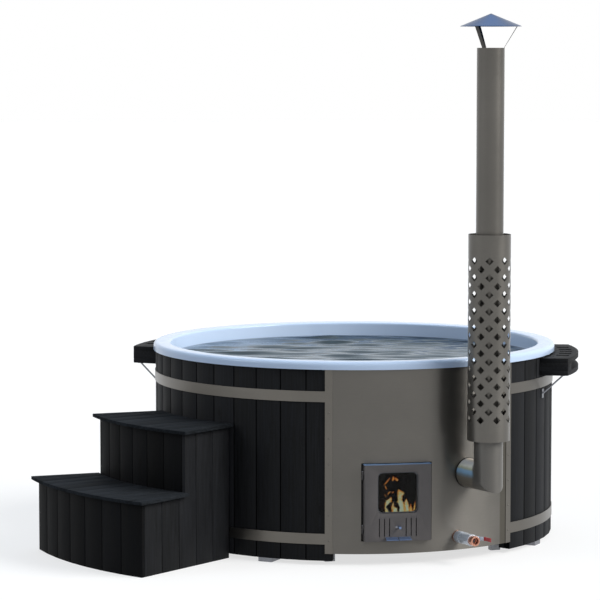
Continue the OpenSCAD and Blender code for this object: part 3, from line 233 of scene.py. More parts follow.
class Finish:
    """Material of one principled shader, built up from named node steps."""

    def __init__(self, name, **sockets):
        self.material = bpy.data.materials.new(name)
        self.material.use_nodes = True
        self.tree = self.material.node_tree
        self.tree.nodes.clear()
        output = self.node("ShaderNodeOutputMaterial")
        self.shader = self.node("ShaderNodeBsdfPrincipled")
        self.tree.links.new(self.shader.outputs[0], output.inputs["Surface"])
        self.place = self.node("ShaderNodeTexCoord").outputs["Object"]
        for key, value in sockets.items():
            self.set(key.replace("_", " "), value)

    def node(self, kind, feeds=None, **settings):
        made = self.tree.nodes.new(kind)
        for key, value in settings.items():
            setattr(made, key, value)
        for key, value in (feeds or {}).items():
            self.feed(made.inputs[key], value)
        return made

    def feed(self, socket, value):
        if isinstance(value, bpy.types.NodeSocket):
            self.tree.links.new(value, socket)
        elif socket.type == "RGBA":
            socket.default_value = (*value[:3], 1.0)
        else:
            socket.default_value = value

    def set(self, name, value):
        self.feed(self.shader.inputs[name], value)

    def sum(self, operation, first, second=0.0, third=0.0):
        """One step of arithmetic."""
        return self.node("ShaderNodeMath", {0: first, 1: second, 2: third},
                         operation=operation).outputs[0]

    def parts(self, vector=None):
        split = self.node("ShaderNodeSeparateXYZ", {0: vector or self.place})
        return split.outputs[0], split.outputs[1], split.outputs[2]

    def join(self, x, y, z):
        return self.node("ShaderNodeCombineXYZ", {0: x, 1: y, 2: z}).outputs[0]

    def length(self, x, y):
        return self.node("ShaderNodeVectorMath", {0: self.join(x, y, 0.0)},
                         operation="LENGTH").outputs["Value"]

    def turned(self, angle):
        """Place in the frame turned to an angle, so x runs across and -y outwards."""
        return self.node("ShaderNodeMapping", {
            "Vector": self.place, "Rotation": (0, 0, -math.radians(angle))}).outputs[0]

    def noise(self, vector, scale, detail=3.0, rough=0.5, bend=0.0):
        return self.node("ShaderNodeTexNoise", {
            "Vector": vector, "Scale": scale, "Detail": detail, "Roughness": rough,
            "Distortion": bend}).outputs[0]

    def cells(self, vector, scale, output="Distance", feature="F1"):
        return self.node("ShaderNodeTexVoronoi", {"Vector": vector, "Scale": scale},
                         feature=feature).outputs[output]

    def spread(self, value, low, high, to_low=0.0, to_high=1.0):
        return self.node("ShaderNodeMapRange", {
            0: value, 1: low, 2: high, 3: to_low, 4: to_high}).outputs[0]

    def roughen(self, value, least, most, low=0.3, high=0.7):
        """Roughness from least to most as a texture goes from low to high."""
        self.set("Roughness", self.spread(value, low, high, least, most))

    def blend(self, share, first, second):
        return self.node("ShaderNodeMix", {0: share, 6: first, 7: second},
                         data_type="RGBA").outputs[2]

    def ramp(self, value, *stops):
        made = self.node("ShaderNodeValToRGB", {0: value})
        bands = made.color_ramp.elements
        while len(bands) < len(stops):
            bands.new(0.5)
        for band, (where, colour) in zip(bands, stops):
            band.position = where
            band.color = (*colour, 1.0)
        return made.outputs[0]

    def bump(self, height, depth, strength):
        made = self.node("ShaderNodeBump", {"Height": height, "Distance": depth,
                                            "Strength": strength})
        self.tree.links.new(made.outputs[0], self.shader.inputs["Normal"])


def polar(f):
    """Angle in radians from -Y, distance from the tub's axis and height."""
    x, y, z = f.parts()
    return f.sum("ARCTAN2", x, f.sum("MULTIPLY", y, -1.0)), f.length(x, y), z


def counted(f, value, start, pitch):
    return f.sum("FLOOR", f.sum("DIVIDE", f.sum("SUBTRACT", value, start), pitch))


def chosen(f, test, first, second):
    """second where test is 1, else first."""
    return f.sum("ADD", f.sum("MULTIPLY", second, test),
                 f.sum("MULTIPLY", first, f.sum("SUBTRACT", 1.0, test)))


# Each board function gives places across, along and into a board, and the board's number

def stave_board(f):
    angle, distance, z = polar(f)
    start = math.radians(STAVE_START)
    angle = f.sum("WRAP", angle, start + math.tau, start)
    return angle, z, distance, counted(f, angle, start, math.radians(STAVE_PITCH))


def stave_seam(f):
    """1 in the narrow shadow between two staves, 0 on their faces."""
    turns = f.sum("DIVIDE", f.sum("SUBTRACT", stave_board(f)[0], math.radians(STAVE_START)),
                  math.radians(STAVE_PITCH))
    return f.spread(f.sum("PINGPONG", turns, 0.5), *SEAM, to_low=1.0, to_high=0.0)


def riser_board(f):
    angle, distance, z = polar(f)
    start = math.radians(STEP_ANGLE - STEP_HALF)
    span = math.radians(2 * STEP_HALF)
    inset = math.radians(UPPER_RISER_INSET)
    upper = counted(f, angle, start + inset, (span - 2 * inset) / UPPER_RISERS)
    lower = f.sum("ADD", counted(f, angle, start, span / LOWER_RISERS), LOWER_RISER_FIRST)
    index = chosen(f, f.sum("GREATER_THAN", distance, RISER_SPLIT), upper, lower)
    return f.sum("MULTIPLY", angle, 1.5), z, distance, index


def side_board(f):
    angle, distance, z = polar(f)
    side = f.sum("MULTIPLY", f.sum("GREATER_THAN", angle, math.radians(STEP_ANGLE)),
                 SECOND_SIDE_FIRST)
    return distance, z, angle, f.sum("ADD", counted(f, distance, *SIDE_BOARDS), side)


def tread_board(f):
    x, y, z = f.parts(f.turned(STEP_ANGLE))
    upper = f.sum("ADD", counted(f, x, *UPPER_TREADS), UPPER_TREAD_FIRST)
    index = chosen(f, f.sum("GREATER_THAN", z, TREAD_SPLIT), counted(f, x, *LOWER_TREADS), upper)
    return x, y, z, index


def shelf_board(f):
    angle, distance, z = polar(f)
    side = f.sum("MULTIPLY", f.sum("GREATER_THAN", f.parts()[0], 0.0), SECOND_SHELF_FIRST)
    index = f.sum("ADD", side, f.sum("GREATER_THAN", z, SHELF_SPLIT))
    return distance, f.sum("MULTIPLY", angle, SHELF_OUT), z, index


def upright_board(f):
    angle, distance, z = polar(f)
    index = counted(f, angle, 0.0, UPRIGHT_PITCH)
    return f.sum("MULTIPLY", angle, UPRIGHT_OUT), z, distance, index


def timber(name, board, dark, light, knots=0.6, rough=0.66, gleam=0.12, seam=None):
    """Planed boards with long grain, faint knots and a tone of their own each."""
    f = Finish(name)
    across, along, depth, index = board(f)
    luck = f.node("ShaderNodeTexWhiteNoise", {"W": index}, noise_dimensions="1D").outputs[0]
    shift = f.sum("MULTIPLY", luck, 9.0)
    long = f.sum("ADD", f.sum("MULTIPLY", along, 0.045), shift)
    grain = f.noise(f.join(across, long, depth), 95.0, detail=7.0, rough=0.62, bend=0.5)
    fibre = f.noise(f.join(across, f.sum("MULTIPLY", long, 0.4), depth), 520.0, rough=0.6)
    cell = f.cells(f.join(f.sum("MULTIPLY", across, 7.0),
                          f.sum("ADD", f.sum("MULTIPLY", along, 3.4), shift), 0.0), 1.0)
    knot = f.spread(cell, 0.02, 0.12, to_low=1.0, to_high=0.0)
    ring = f.spread(f.sum("SINE", f.sum("MULTIPLY", cell, 120.0)), -1.0, 1.0, to_high=0.35)
    ring = f.sum("MULTIPLY", ring, f.spread(cell, 0.05, 0.28, to_low=1.0, to_high=0.0))
    share = f.sum("ADD", f.spread(grain, 0.32, 0.68), f.sum("MULTIPLY", ring, -1.0))
    share = f.sum("ADD", share, f.spread(luck, 0.0, 1.0, to_low=-0.25, to_high=0.25))
    share = f.sum("SUBTRACT", share, f.sum("MULTIPLY", knot, knots))
    colour = f.ramp(share, (0.0, dark), (1.0, light))
    if seam:
        gap = seam(f)
        colour = f.blend(gap, colour, shaded(dark, 0.4))
        gleam = f.spread(gap, 0.0, 1.0, to_low=gleam, to_high=0.2 * gleam)
    f.set("Base Color", colour)
    f.roughen(grain, rough - 0.08, rough + 0.12)
    f.set("Specular IOR Level", gleam)
    height = f.sum("ADD", f.sum("MULTIPLY", grain, 0.6), f.sum("MULTIPLY", fibre, 0.5))
    f.bump(f.sum("SUBTRACT", height, f.sum("MULTIPLY", knot, 0.3)), depth=0.0006, strength=0.8)
    return f.material


def brushed(name, colour, rough=0.36, flow=0.85, metal=0.45, painted_light=None):
    """Satin steel with brush lines that run round the tub, so its gleam runs up and down."""
    f = Finish(name, Metallic=metal, Anisotropic=flow, Anisotropic_Rotation=0.25)
    x, y, z = f.parts()
    line = f.noise(f.join(f.sum("MULTIPLY", x, 0.02), f.sum("MULTIPLY", y, 0.02), z),
                   900.0, detail=4.0, rough=0.7)
    cloud = f.noise(f.place, 3.0, detail=4.0, rough=0.55)
    share = f.sum("ADD", f.sum("MULTIPLY", line, 0.35), f.sum("MULTIPLY", cloud, 0.65))
    shade = f.ramp(share, (0.35, shaded(colour, 0.88)), (0.65, shaded(colour, 1.1)))
    # painted light: a mask lays a painted reflection over the steel
    if painted_light:
        where, tint = painted_light(f)
        shade = f.blend(where, shade, tint)
        line = f.sum("MULTIPLY", line, f.sum("SUBTRACT", 1.0, where))
    f.set("Base Color", shade)
    f.roughen(share, rough - 0.04, rough + 0.05, low=0.35, high=0.65)
    tangent = f.node("ShaderNodeTangent", direction_type="RADIAL", axis="Z").outputs[0]
    f.tree.links.new(tangent, f.shader.inputs["Tangent"])
    f.bump(line, depth=0.00004, strength=0.6)
    return f.material


def stub_painted_reflection(f):
    """Painted reflection on the stub between the panel and the flue: straw and blue bands with a
    white glint near the top, darker steel below.
    """
    hub = around(FLUE_ANGLE, FLUE_OUT)
    x, y, z = f.parts()
    off = f.length(f.sum("SUBTRACT", x, hub.x), f.sum("SUBTRACT", y, hub.y))
    wander = f.sum("MULTIPLY", f.noise(f.place, 30.0, detail=2.0), 0.008)
    band = f.spread(f.sum("ADD", z, wander), *STUB_HEIGHTS)
    # painted reflection: the ramp runs from darker steel up through sky blue to a white glint
    tint = f.ramp(band, (0.0, tone(112, 105, 96)), (0.44, tone(126, 120, 108)),
                  (0.52, tone(132, 146, 156)), (0.6, tone(148, 190, 222)),
                  (0.68, tone(166, 206, 238)), (0.74, tone(204, 208, 178)),
                  (0.82, tone(254, 255, 242)), (0.93, tone(255, 255, 252)),
                  (1.0, tone(232, 218, 200)))
    return f.spread(off, *STUB_RADII), tint


def panel_edge_painted_reflection(f):
    """Painted dark reflection: a darker upright band on the panel beside its right-hand strip."""
    start, full = (math.radians(angle) for angle in EDGE_BAND)
    patch = f.noise(f.place, 4.0, detail=2.0)
    where = f.sum("MULTIPLY", f.spread(polar(f)[0], start, full),
                  f.spread(patch, 0.2, 0.8, to_low=0.7))
    return where, tone(74, 70, 61)


def plated(name, colour, rough=0.16, grime=0.25, metal=0.7):
    """Plated or bare machined metal with slight stains."""
    f = Finish(name, Metallic=metal)
    stain = f.noise(f.place, 60.0, detail=6.0, rough=0.65, bend=0.4)
    f.set("Base Color", f.ramp(stain, (0.35, colour), (0.7, shaded(colour, 1.0 - grime))))
    f.roughen(stain, rough, rough + 0.16)
    f.bump(f.noise(f.place, 420.0), depth=0.00003, strength=0.5)
    return f.material


def spangled(name, colour, metal=1.0):
    """Zinc coat with crystal flakes."""
    f = Finish(name, Metallic=metal)
    flake = f.parts(f.cells(f.place, 160.0, output="Color"))[0]
    f.set("Base Color", f.ramp(flake, (0.0, shaded(colour, 0.78)), (1.0, colour)))
    f.roughen(flake, 0.28, 0.5, low=0.0, high=1.0)
    return f.material


def painted(name, colour, rough=0.42, grain=1400.0, depth=0.00005, sky_sheen_top=None):
    """Sprayed paint with a fine texture, slightly worn patches and a painted sky-blue sheen along
    the top edge.
    """
    f = Finish(name, Specular_IOR_Level=0.1, Coat_Weight=0.2, Coat_Roughness=0.15)
    patch = f.noise(f.place, 14.0, detail=6.0, rough=0.6)
    coat = f.ramp(patch, (0.3, shaded(colour, 0.92)), (0.7, shaded(colour, 1.06)))
    if sky_sheen_top:
        start, full = (sky_sheen_top - under for under in SKY_SHEEN_STRIP)
        # painted reflection: a sky-blue sheen on a thin strip just under the top edge
        coat = f.blend(f.spread(f.parts()[2], start, full), coat, tone(112, 138, 172))
    f.set("Base Color", coat)
    f.roughen(patch, rough - 0.06, rough + 0.1)
    f.bump(f.noise(f.place, grain, detail=2.0), depth, strength=0.7)
    return f.material


def dipped_lever():
    """Bare lever whose far end is dipped in paint."""
    f = Finish("lever_paint", Coat_Weight=0.5, Coat_Roughness=0.1)
    out = f.sum("MULTIPLY", f.parts(f.turned(DRAIN_ANGLE))[1], -1.0)
    ragged = f.sum("MULTIPLY", f.noise(f.place, 300.0, detail=2.0), 0.002)
    dip = f.spread(f.sum("ADD", out, ragged), *DIP_OUT)
    f.set("Base Color", f.blend(dip, list(colours().nickel), list(colours().lever)))
    f.roughen(f.noise(f.place, 90.0), 0.24, 0.4)
    f.bump(f.noise(f.place, 500.0, detail=2.0), depth=0.00004, strength=0.5)
    return f.material


def gel_coat():
    """Glossy moulded liner with a faint long waviness."""
    f = Finish("liner_gel_coat", Specular_IOR_Level=0.3, Coat_Weight=0.15, Coat_Roughness=0.08)
    wave = f.noise(f.place, 2.2, detail=2.0)
    colour = list(colours().liner)
    f.set("Base Color", f.ramp(wave, (0.3, shaded(colour, 0.96)), (0.7, colour)))
    f.roughen(f.noise(f.place, 35.0, detail=4.0), 0.14, 0.24)
    f.bump(f.noise(f.place, 6.0, detail=2.0), depth=0.0008, strength=0.35)
    return f.material


def cast():
    """Pitted cast iron."""
    f = Finish("grate_cast_iron", Metallic=0.6)
    pit = f.noise(f.place, 240.0, detail=6.0, rough=0.7)
    f.set("Base Color", f.ramp(pit, (0.3, tone(30, 30, 31)), (0.7, tone(64, 60, 56))))
    f.roughen(pit, 0.55, 0.8)
    f.bump(pit, depth=0.0006, strength=0.8)
    return f.material


def rope():
    """Plaited heat-proof rope."""
    f = Finish("seal_rope", Roughness=0.95, Sheen_Weight=0.3)
    x, y, z = f.parts(f.turned(DOOR_ANGLE))
    plait = f.node("ShaderNodeTexWave", {
        "Vector": f.join(x, f.sum("MULTIPLY", y, 0.3), z), "Scale": 45.0, "Distortion": 1.5,
        "Detail": 2.0}, wave_type="BANDS", bands_direction="DIAGONAL").outputs["Fac"]
    f.set("Base Color", f.ramp(plait, (0.2, tone(38, 37, 36)), (0.8, tone(84, 82, 78))))
    f.bump(plait, depth=0.001, strength=0.9)
    return f.material


def dark_glass():
    """Heat-proof window glass, smoked, with a trace of soot."""
    f = Finish("window_glass", IOR=1.27, Alpha=0.3, Roughness=0.02)
    soot = f.noise(f.place, 18.0, detail=4.0)
    f.set("Base Color", f.ramp(soot, (0.3, tone(10, 10, 10)), (0.75, tone(30, 28, 26))))
    return f.material


def bath_water():
    """Deep water that mirrors more the flatter it is looked at."""
    # the blue specular tint is a painted reflection of the sky on the water
    f = Finish("bath_water", Metallic=0.8, IOR=1.2, Roughness=0.05,
               Specular_Tint=(0.66, 0.76, 0.86, 1.0))
    swirl = f.noise(f.place, 1.6, detail=4.0, rough=0.6, bend=0.6)
    deep = list(colours().water)
    f.set("Base Color", f.ramp(swirl, (0.3, shaded(deep, 0.6)), (0.7, deep)))
    x, y, z = f.parts()
    f.bump(f.noise(f.join(f.sum("MULTIPLY", x, 0.2), y, z), 30.0, bend=0.4),
           depth=0.0036, strength=0.75)
    return f.material


def flame():
    """Glowing gas, pale at its core and orange at its edges, after the mesh's own coolness."""
    f = Finish("flame", Roughness=1.0, Specular_IOR_Level=0.0)
    cool = f.node("ShaderNodeAttribute", attribute_name="cool").outputs["Fac"]
    lick = f.noise(f.place, 110.0, detail=4.0, rough=0.6, bend=0.8)
    heat = f.sum("ADD", cool, f.spread(lick, 0.3, 0.7, to_low=-0.34, to_high=0.42))
    glow = f.ramp(heat, (0.12, tone(166, 182, 164)), (0.36, tone(178, 168, 96)),
                  (0.62, tone(188, 108, 36)), (1.0, tone(92, 32, 10)))
    f.set("Base Color", BLACK)
    f.set("Emission Color", glow)
    f.set("Emission Strength", 1.2)
    return f.material


def char(name, glow_strength):
    """Burnt wood with glowing cracks."""
    f = Finish(name, Roughness=0.95)
    crack = f.cells(f.place, 60.0, feature="DISTANCE_TO_EDGE")
    ash = f.noise(f.place, 45.0, detail=5.0)
    f.set("Base Color", f.ramp(ash, (0.35, tone(20, 18, 17)), (0.75, tone(96, 88, 80))))
    hot = f.spread(crack, 0.0, 0.06, to_low=1.0, to_high=0.0)
    patch = f.spread(f.noise(f.place, 12.0, detail=2.0), 0.45, 0.6)
    f.set("Emission Color", f.ramp(f.sum("MULTIPLY", hot, patch), (0.0, BLACK),
                                   (0.5, tone(190, 50, 10)), (1.0, tone(255, 170, 70))))
    f.set("Emission Strength", glow_strength)
    f.bump(crack, depth=0.003, strength=0.8)
    return f.material


def new_object(name, data):
    """Object of a mesh, lamp or camera."""
    made = bpy.data.objects.new(name, data)
    bpy.context.scene.collection.objects.link(made)
    return made


def placed(name, mesh, body):
    """Object of a mesh, with its body."""
    piece = new_object(name, mesh)
    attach(piece, body)
    return piece


def mesh_of(name, shape, material):
    """Mesh of a filled bmesh, with its faces turned outwards."""
    bmesh.ops.recalc_face_normals(shape, faces=shape.faces)
    mesh = bpy.data.meshes.new(name)
    shape.to_mesh(mesh)
    shape.free()
    mesh.materials.append(material)
    return mesh


def new_piece(name, build, material):
    """Smooth piece from a function that fills a bmesh."""
    shape = bmesh.new()
    build(shape)
    bmesh.ops.remove_doubles(shape, verts=shape.verts, dist=WELD_GAP)
    mesh = mesh_of(name, shape, material)
    mesh.shade_smooth()
    return placed(name, mesh, "root")


def circle(radius, steps):
    """Points round a circle, as pairs."""
    return [(radius * math.cos(k * math.tau / steps), radius * math.sin(k * math.tau / steps))
            for k in range(steps)]


def loft(shape, rings):
    """Skins rings of equal point counts, one after the other, and closes both ends."""
    rows = [[shape.verts.new(point) for point in ring] for ring in rings]
    for low, high in zip(rows, rows[1:]):
        for k in range(len(low)):
            n = (k + 1) % len(low)
            shape.faces.new((low[k], low[n], high[n], high[k]))
    shape.faces.new(list(reversed(rows[0])))
    shape.faces.new(rows[-1])
    return rows


def new_tree(name, *inputs):
    """Tree from geometry to geometry, with inputs of a name, a kind and a default."""
    tree = bpy.data.node_groups.new(name, "GeometryNodeTree")
    face = tree.interface
    face.new_socket("Geometry", in_out="INPUT", socket_type="NodeSocketGeometry")
    for label, kind, value in inputs:
        face.new_socket(label, in_out="INPUT", socket_type=kind).default_value = value
    face.new_socket("Geometry", in_out="OUTPUT", socket_type="NodeSocketGeometry")
    return tree, tree.nodes.new("NodeGroupInput"), tree.nodes.new("NodeGroupOutput")


def end_tree(tree, instances, material, end):
    """Turns a tree's instances into plain mesh of one material."""
    real = tree.nodes.new("GeometryNodeRealizeInstances")
    paint = tree.nodes.new("GeometryNodeSetMaterial")
    paint.inputs["Material"].default_value = material
    tree.links.new(instances, real.inputs[0])
    tree.links.new(real.outputs[0], paint.inputs["Geometry"])
    tree.links.new(paint.outputs[0], end.inputs[0])


def soft_edge_tree():
    """Joins a solid's loose triangles and smooths it, but keeps its sharp edges."""
    tree, begin, end = new_tree("soft_edges", ("Edge angle", "NodeSocketFloat", SHARP_ANGLE))
    merge = tree.nodes.new("GeometryNodeMergeByDistance")
    merge.inputs["Distance"].default_value = WELD_GAP
    smooth = tree.nodes.new("GeometryNodeSetShadeSmooth")
    sharp = tree.nodes.new("GeometryNodeSetShadeSmooth")
    sharp.domain = "EDGE"
    sharp.inputs["Shade Smooth"].default_value = False
    turn = tree.nodes.new("GeometryNodeInputMeshEdgeAngle")
    over = tree.nodes.new("FunctionNodeCompare")
    over.operation = "GREATER_THAN"
    for source, target in (
            (begin.outputs[0], merge.inputs["Geometry"]),
            (merge.outputs[0], smooth.inputs["Geometry"]),
            (smooth.outputs[0], sharp.inputs["Geometry"]),
            (turn.outputs["Unsigned Angle"], over.inputs[0]),
            (begin.outputs["Edge angle"], over.inputs[1]),
            (over.outputs[0], sharp.inputs["Selection"]),
            (sharp.outputs[0], end.inputs[0])):
        tree.links.new(source, target)
    return tree


def dress(nodes, material, edge=0.0):
    """Gives solids a finish, rounds their edges a little and smooths their curves."""
    tree = bpy.data.node_groups.get("soft_edges") or soft_edge_tree()
    for name in nodes:
        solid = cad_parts[name]
        solid.data.materials.clear()
        solid.data.materials.append(material)
        if edge:
            weld = solid.modifiers.new("Join", "WELD")
            weld.merge_threshold = WELD_GAP
            bevel = solid.modifiers.new("Edge", "BEVEL")
            bevel.width = edge
            bevel.segments = 2
            bevel.limit_method = "ANGLE"
            bevel.angle_limit = SHARP_ANGLE
        solid.modifiers.new("Soft edges", "NODES").node_group = tree


class TUB_OT_timber(bpy.types.Operator):
    """Stain the outer boards and leave the timber inside the wall raw"""
    bl_idname = "tub.timber"
    bl_label = "Timber"
    bl_options = {"REGISTER", "UNDO"}

    def execute(self, context):
        dark, light = list(colours().timber_dark), list(colours().timber_light)
        edge = sizes().edge
        dress(["staves"], timber("stave_timber", stave_board, dark, light, seam=stave_seam), edge)
        # the risers are the stave timber darkened: painted shade for boards that face away from
        # the light
        dress(["riser_boards"], timber("riser_timber_painted_shade", riser_board, shaded(dark, 0.45),
                                       shaded(light, 0.45), gleam=0.06), edge)
        dress(["side_boards"], timber("side_timber", side_board, dark, light), edge)
        # the treads' bluish cast is painted sky light on their upward faces
        dress(["treads"], timber("tread_timber_painted_sky", tread_board, tone(27, 29, 31), tone(47, 50, 54),
                                 knots=0.4, rough=0.8, gleam=0.02), edge)
        dress(["shelf_tops", "shelf_bottoms", "shelf_ends"],
              timber("shelf_timber", shelf_board, dark, light, knots=0.4), edge)
        pine = list(colours().pine)
        dress(["rim_ring", "batten_rings", "wall_posts", "bearers", "bench_props", "step_frame"],
              timber("raw_pine", upright_board, shaded(pine, 0.55), pine, knots=0.9, rough=0.75))
        dress(["panel_posts"], timber("post_timber", upright_board, dark, light, knots=0.2))
        return {"FINISHED"}


class TUB_OT_steel(bpy.types.Operator):
    """Brush the panel, hoops, flue, guard and cap"""
    bl_idname = "tub.steel"
    bl_label = "Steel"
    bl_options = {"REGISTER", "UNDO"}

    def execute(self, context):
        steel = list(colours().steel)
        # the panel carries a painted dark reflection in a band beside its right-hand strip
        dress(["front_panel"], brushed("panel_steel", steel, metal=0.65, painted_light=panel_edge_painted_reflection))
        dress(["panel_strips", "hoop_upper", "hoop_lower"],
              brushed("hoop_steel", shaded(steel, 1.12), rough=0.4, metal=0.9))
        # the elbow's stub carries a painted reflection in straw, blue and white bands
        dress(["flue_elbow"],
              brushed("elbow_steel", steel, rough=0.38, flow=0.6, metal=0.3, painted_light=stub_painted_reflection))
        dress(["flue_lower", "flue_upper", "guard_spacers"],
              brushed("flue_steel", shaded(steel, 0.95), rough=0.34, flow=0.4, metal=0.7))
        # the collar's darker steel is painted shade for the gap round the stub
        dress(["flue_collar"], brushed("collar_painted_shade_steel", shaded(steel, 0.4), rough=0.25))
        dress(["heat_guard"], brushed("guard_steel", steel, rough=0.32, flow=0.6, metal=0.7))
        # the cap's blue base colour is a painted reflection of the sky on its steel
        dress(["rain_cap"],
              brushed("cap_painted_sky_steel", tone(24, 66, 112), rough=0.3, flow=0.0, metal=1.0))
        dress(["cap_straps"], brushed("strap_steel", shaded(steel, 0.5), rough=0.3, flow=0.0))
        dress(["heater_stand"], spangled("stand_zinc", tone(196, 198, 202), metal=0.3))
        dress(["base_rails", "shelf_braces", "hinge_pins", "glass_frame", "slide_guides",
               "air_slide", "wall_grilles", "flow_pipes"],
              spangled("zinc_coat", tone(138, 140, 146)))
        return {"FINISHED"}


class TUB_OT_liner(bpy.types.Operator):
    """Give the liner its glossy gel coat"""
    bl_idname = "tub.liner"
    bl_label = "Liner"
    bl_options = {"REGISTER", "UNDO"}

    def execute(self, context):
        dress(["liner"], gel_coat())
        return {"FINISHED"}


class TUB_OT_heater(bpy.types.Operator):
    """Finish the heater and its door"""
    bl_idname = "tub.heater"
    bl_label = "Heater"
    bl_options = {"REGISTER", "UNDO"}

    def execute(self, context):
        paint = list(colours().paint)
        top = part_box("door_leaf")[1][2]
        dress(["door_frame"], painted("door_paint", paint), METAL_EDGE)
        # the leaf's top edge carries a painted sky-blue sheen
        dress(["door_leaf"], painted("leaf_paint", paint, sky_sheen_top=top), METAL_EDGE)
        # the ash lip's and the air knob's blue is a painted reflection of the sky
        dress(["ash_lip", "air_knob"],
              plated("fitting_painted_sky_blue", tone(112, 132, 168), rough=0.3, grime=0.1))
        dress(["water_jacket", "jacket_stays"],
              painted("heater_scale", list(colours().heater), rough=0.55, grain=300.0,
                      depth=0.0002))
        dress(["firebox", "baffle", "door_back", "ash_pan"],
              painted("sooty_steel", tone(26, 25, 25), rough=0.8, grain=300.0, depth=0.0003))
        dress(["fire_grate"], cast())
        dress(["door_seal"], rope())
        dress(["door_glass"], dark_glass())
        return {"FINISHED"}


class TUB_OT_valve(bpy.types.Operator):
    """Finish the drain valve"""
    bl_idname = "tub.valve"
    bl_label = "Drain valve"
    bl_options = {"REGISTER", "UNDO"}

    def execute(self, context):
        dress(["drain_union", "valve_body", "packing_nut", "valve_ball", "valve_stem",
               "lever_nut"],
              plated("valve_nickel", list(colours().nickel), rough=0.24, grime=0.1, metal=0.4),
              METAL_EDGE)
        dress(["drain_pipe", "wall_nut", "valve_outlet"],
              plated("valve_brass", list(colours().brass), rough=0.2), METAL_EDGE)
        dress(["valve_lever"], dipped_lever(), LEVER_EDGE)
        return {"FINISHED"}


class TUB_OT_water(bpy.types.Operator):
    """Fill the tub with rippled water"""
    bl_idname = "tub.water"
    bl_label = "Water"
    bl_options = {"REGISTER", "UNDO"}

    def execute(self, context):
        level, swell = sizes().water_level, sizes().ripple
        dice = random.Random(sizes().seed)
        waves = [(dice.gauss(math.pi / 2, WAVE_SPREAD), dice.uniform(*WAVE_NUMBERS),
                  dice.uniform(0, math.tau)) for _ in range(WAVES)]

        def height(x, y, share):
            total = sum(math.sin(k * (x * math.cos(a) + y * math.sin(a)) + p) * WAVE_UNIT / k
                        for a, k, p in waves)
            return level + swell * total * min(1.0, CALM_EDGE * (1 - share))

        def build(shape):
            rings = [[Vector((x, y, z)) for x, y in circle(radius, WATER_STEPS)]
                     for radius, z in BASIN]
            for row in range(WATER_ROWS, 0, -1):
                share = row / WATER_ROWS
                rings.append([Vector((x, y, height(x, y, share)))
                              for x, y in circle(WATER_RADIUS * share, WATER_STEPS)])
            loft(shape, rings)

        new_piece("water", build, bath_water())
        return {"FINISHED"}


class TUB_OT_logs(bpy.types.Operator):
    """Lay logs on the grate"""
    bl_idname = "tub.logs"
    bl_label = "Logs"
    bl_options = {"REGISTER", "UNDO"}

    def execute(self, context):
        dice = random.Random(sizes().seed + 1)

        def log(shape, start, end, radius):
            """Rough, slightly bent round of wood."""
            axis = end - start
            side = axis.cross(Vector((0, 0, 1))).normalized()
            up = side.cross(axis).normalized()
            bark = [1 + dice.uniform(-0.16, 0.12) for _ in range(LOG_SIDES)]
            turns = [k * math.tau / LOG_SIDES for k in range(LOG_SIDES)]
            rings = []
            for i in range(LOG_RINGS + 1):
                share = i / LOG_RINGS
                wander = side * math.sin(share * 4) * 0.006
                trim = 0.9 if i in (0, LOG_RINGS) else 1.0
                rings.append([start + axis * share + wander + (
                    side * math.cos(turn) + up * math.sin(turn))
                    * radius * trim * bark[k] * (1 + 0.07 * math.sin(9 * share + k))
                    for k, turn in enumerate(turns)])
            loft(shape, rings)

        def build(shape):
            for start, end, radius in LOGS:
                log(shape, around(DOOR_ANGLE, *start), around(DOOR_ANGLE, *end), radius)

        new_piece("fire_logs", build, char("burnt_wood", 0.06))
        return {"FINISHED"}


# Flames as they show in the window: sideways, height and half width up each tongue
FIRE = (
    ((-0.039, 0.245, 0.014), (-0.041, 0.271, 0.018), (-0.044, 0.290, 0.016),
     (-0.039, 0.306, 0.014), (-0.031, 0.317, 0.007), (-0.029, 0.325, 0.001)),
    ((0.015, 0.245, 0.027), (0.015, 0.271, 0.026), (0.015, 0.290, 0.020), (0.015, 0.309, 0.011),
     (0.015, 0.325, 0.011), (0.019, 0.341, 0.017), (0.015, 0.350, 0.013), (0.008, 0.360, 0.001)),
    ((0.051, 0.245, 0.013), (0.047, 0.280, 0.012), (0.045, 0.299, 0.008), (0.046, 0.315, 0.001)),
    ((0.070, 0.245, 0.010), (0.067, 0.274, 0.006), (0.068, 0.290, 0.001)),
    ((0.084, 0.245, 0.006), (0.086, 0.277, 0.004), (0.089, 0.302, 0.001)),
    ((-0.009, 0.245, 0.016), (-0.013, 0.268, 0.013), (-0.021, 0.280, 0.006),
     (-0.017, 0.299, 0.001)),
    ((-0.049, 0.245, 0.008), (-0.052, 0.263, 0.005), (-0.052, 0.272, 0.001)))
WISPS = (
    ((-0.065, 0.382, 0.001), (-0.055, 0.391, 0.0035), (-0.045, 0.404, 0.0045),
     (-0.037, 0.413, 0.003), (-0.035, 0.418, 0.0005)),
    ((-0.021, 0.402, 0.002), (-0.019, 0.411, 0.007), (-0.017, 0.420, 0.003),
     (-0.020, 0.427, 0.0005)),
    ((0.001, 0.400, 0.002), (-0.002, 0.408, 0.009), (-0.007, 0.415, 0.007),
     (-0.004, 0.420, 0.0005)),
    ((-0.050, 0.360, 0.0005), (-0.0525, 0.367, 0.003), (-0.0565, 0.375, 0.003),
     (-0.0565, 0.380, 0.0005)),
    ((-0.044, 0.334, 0.001), (-0.042, 0.342, 0.003), (-0.036, 0.349, 0.0045),
     (-0.031, 0.352, 0.0005)),
    ((-0.025, 0.343, 0.002), (-0.019, 0.347, 0.005), (-0.017, 0.351, 0.001)),
    ((-0.0525, 0.325, 0.0005), (-0.055, 0.331, 0.0025), (-0.060, 0.337, 0.0015),
     (-0.061, 0.340, 0.0005)))

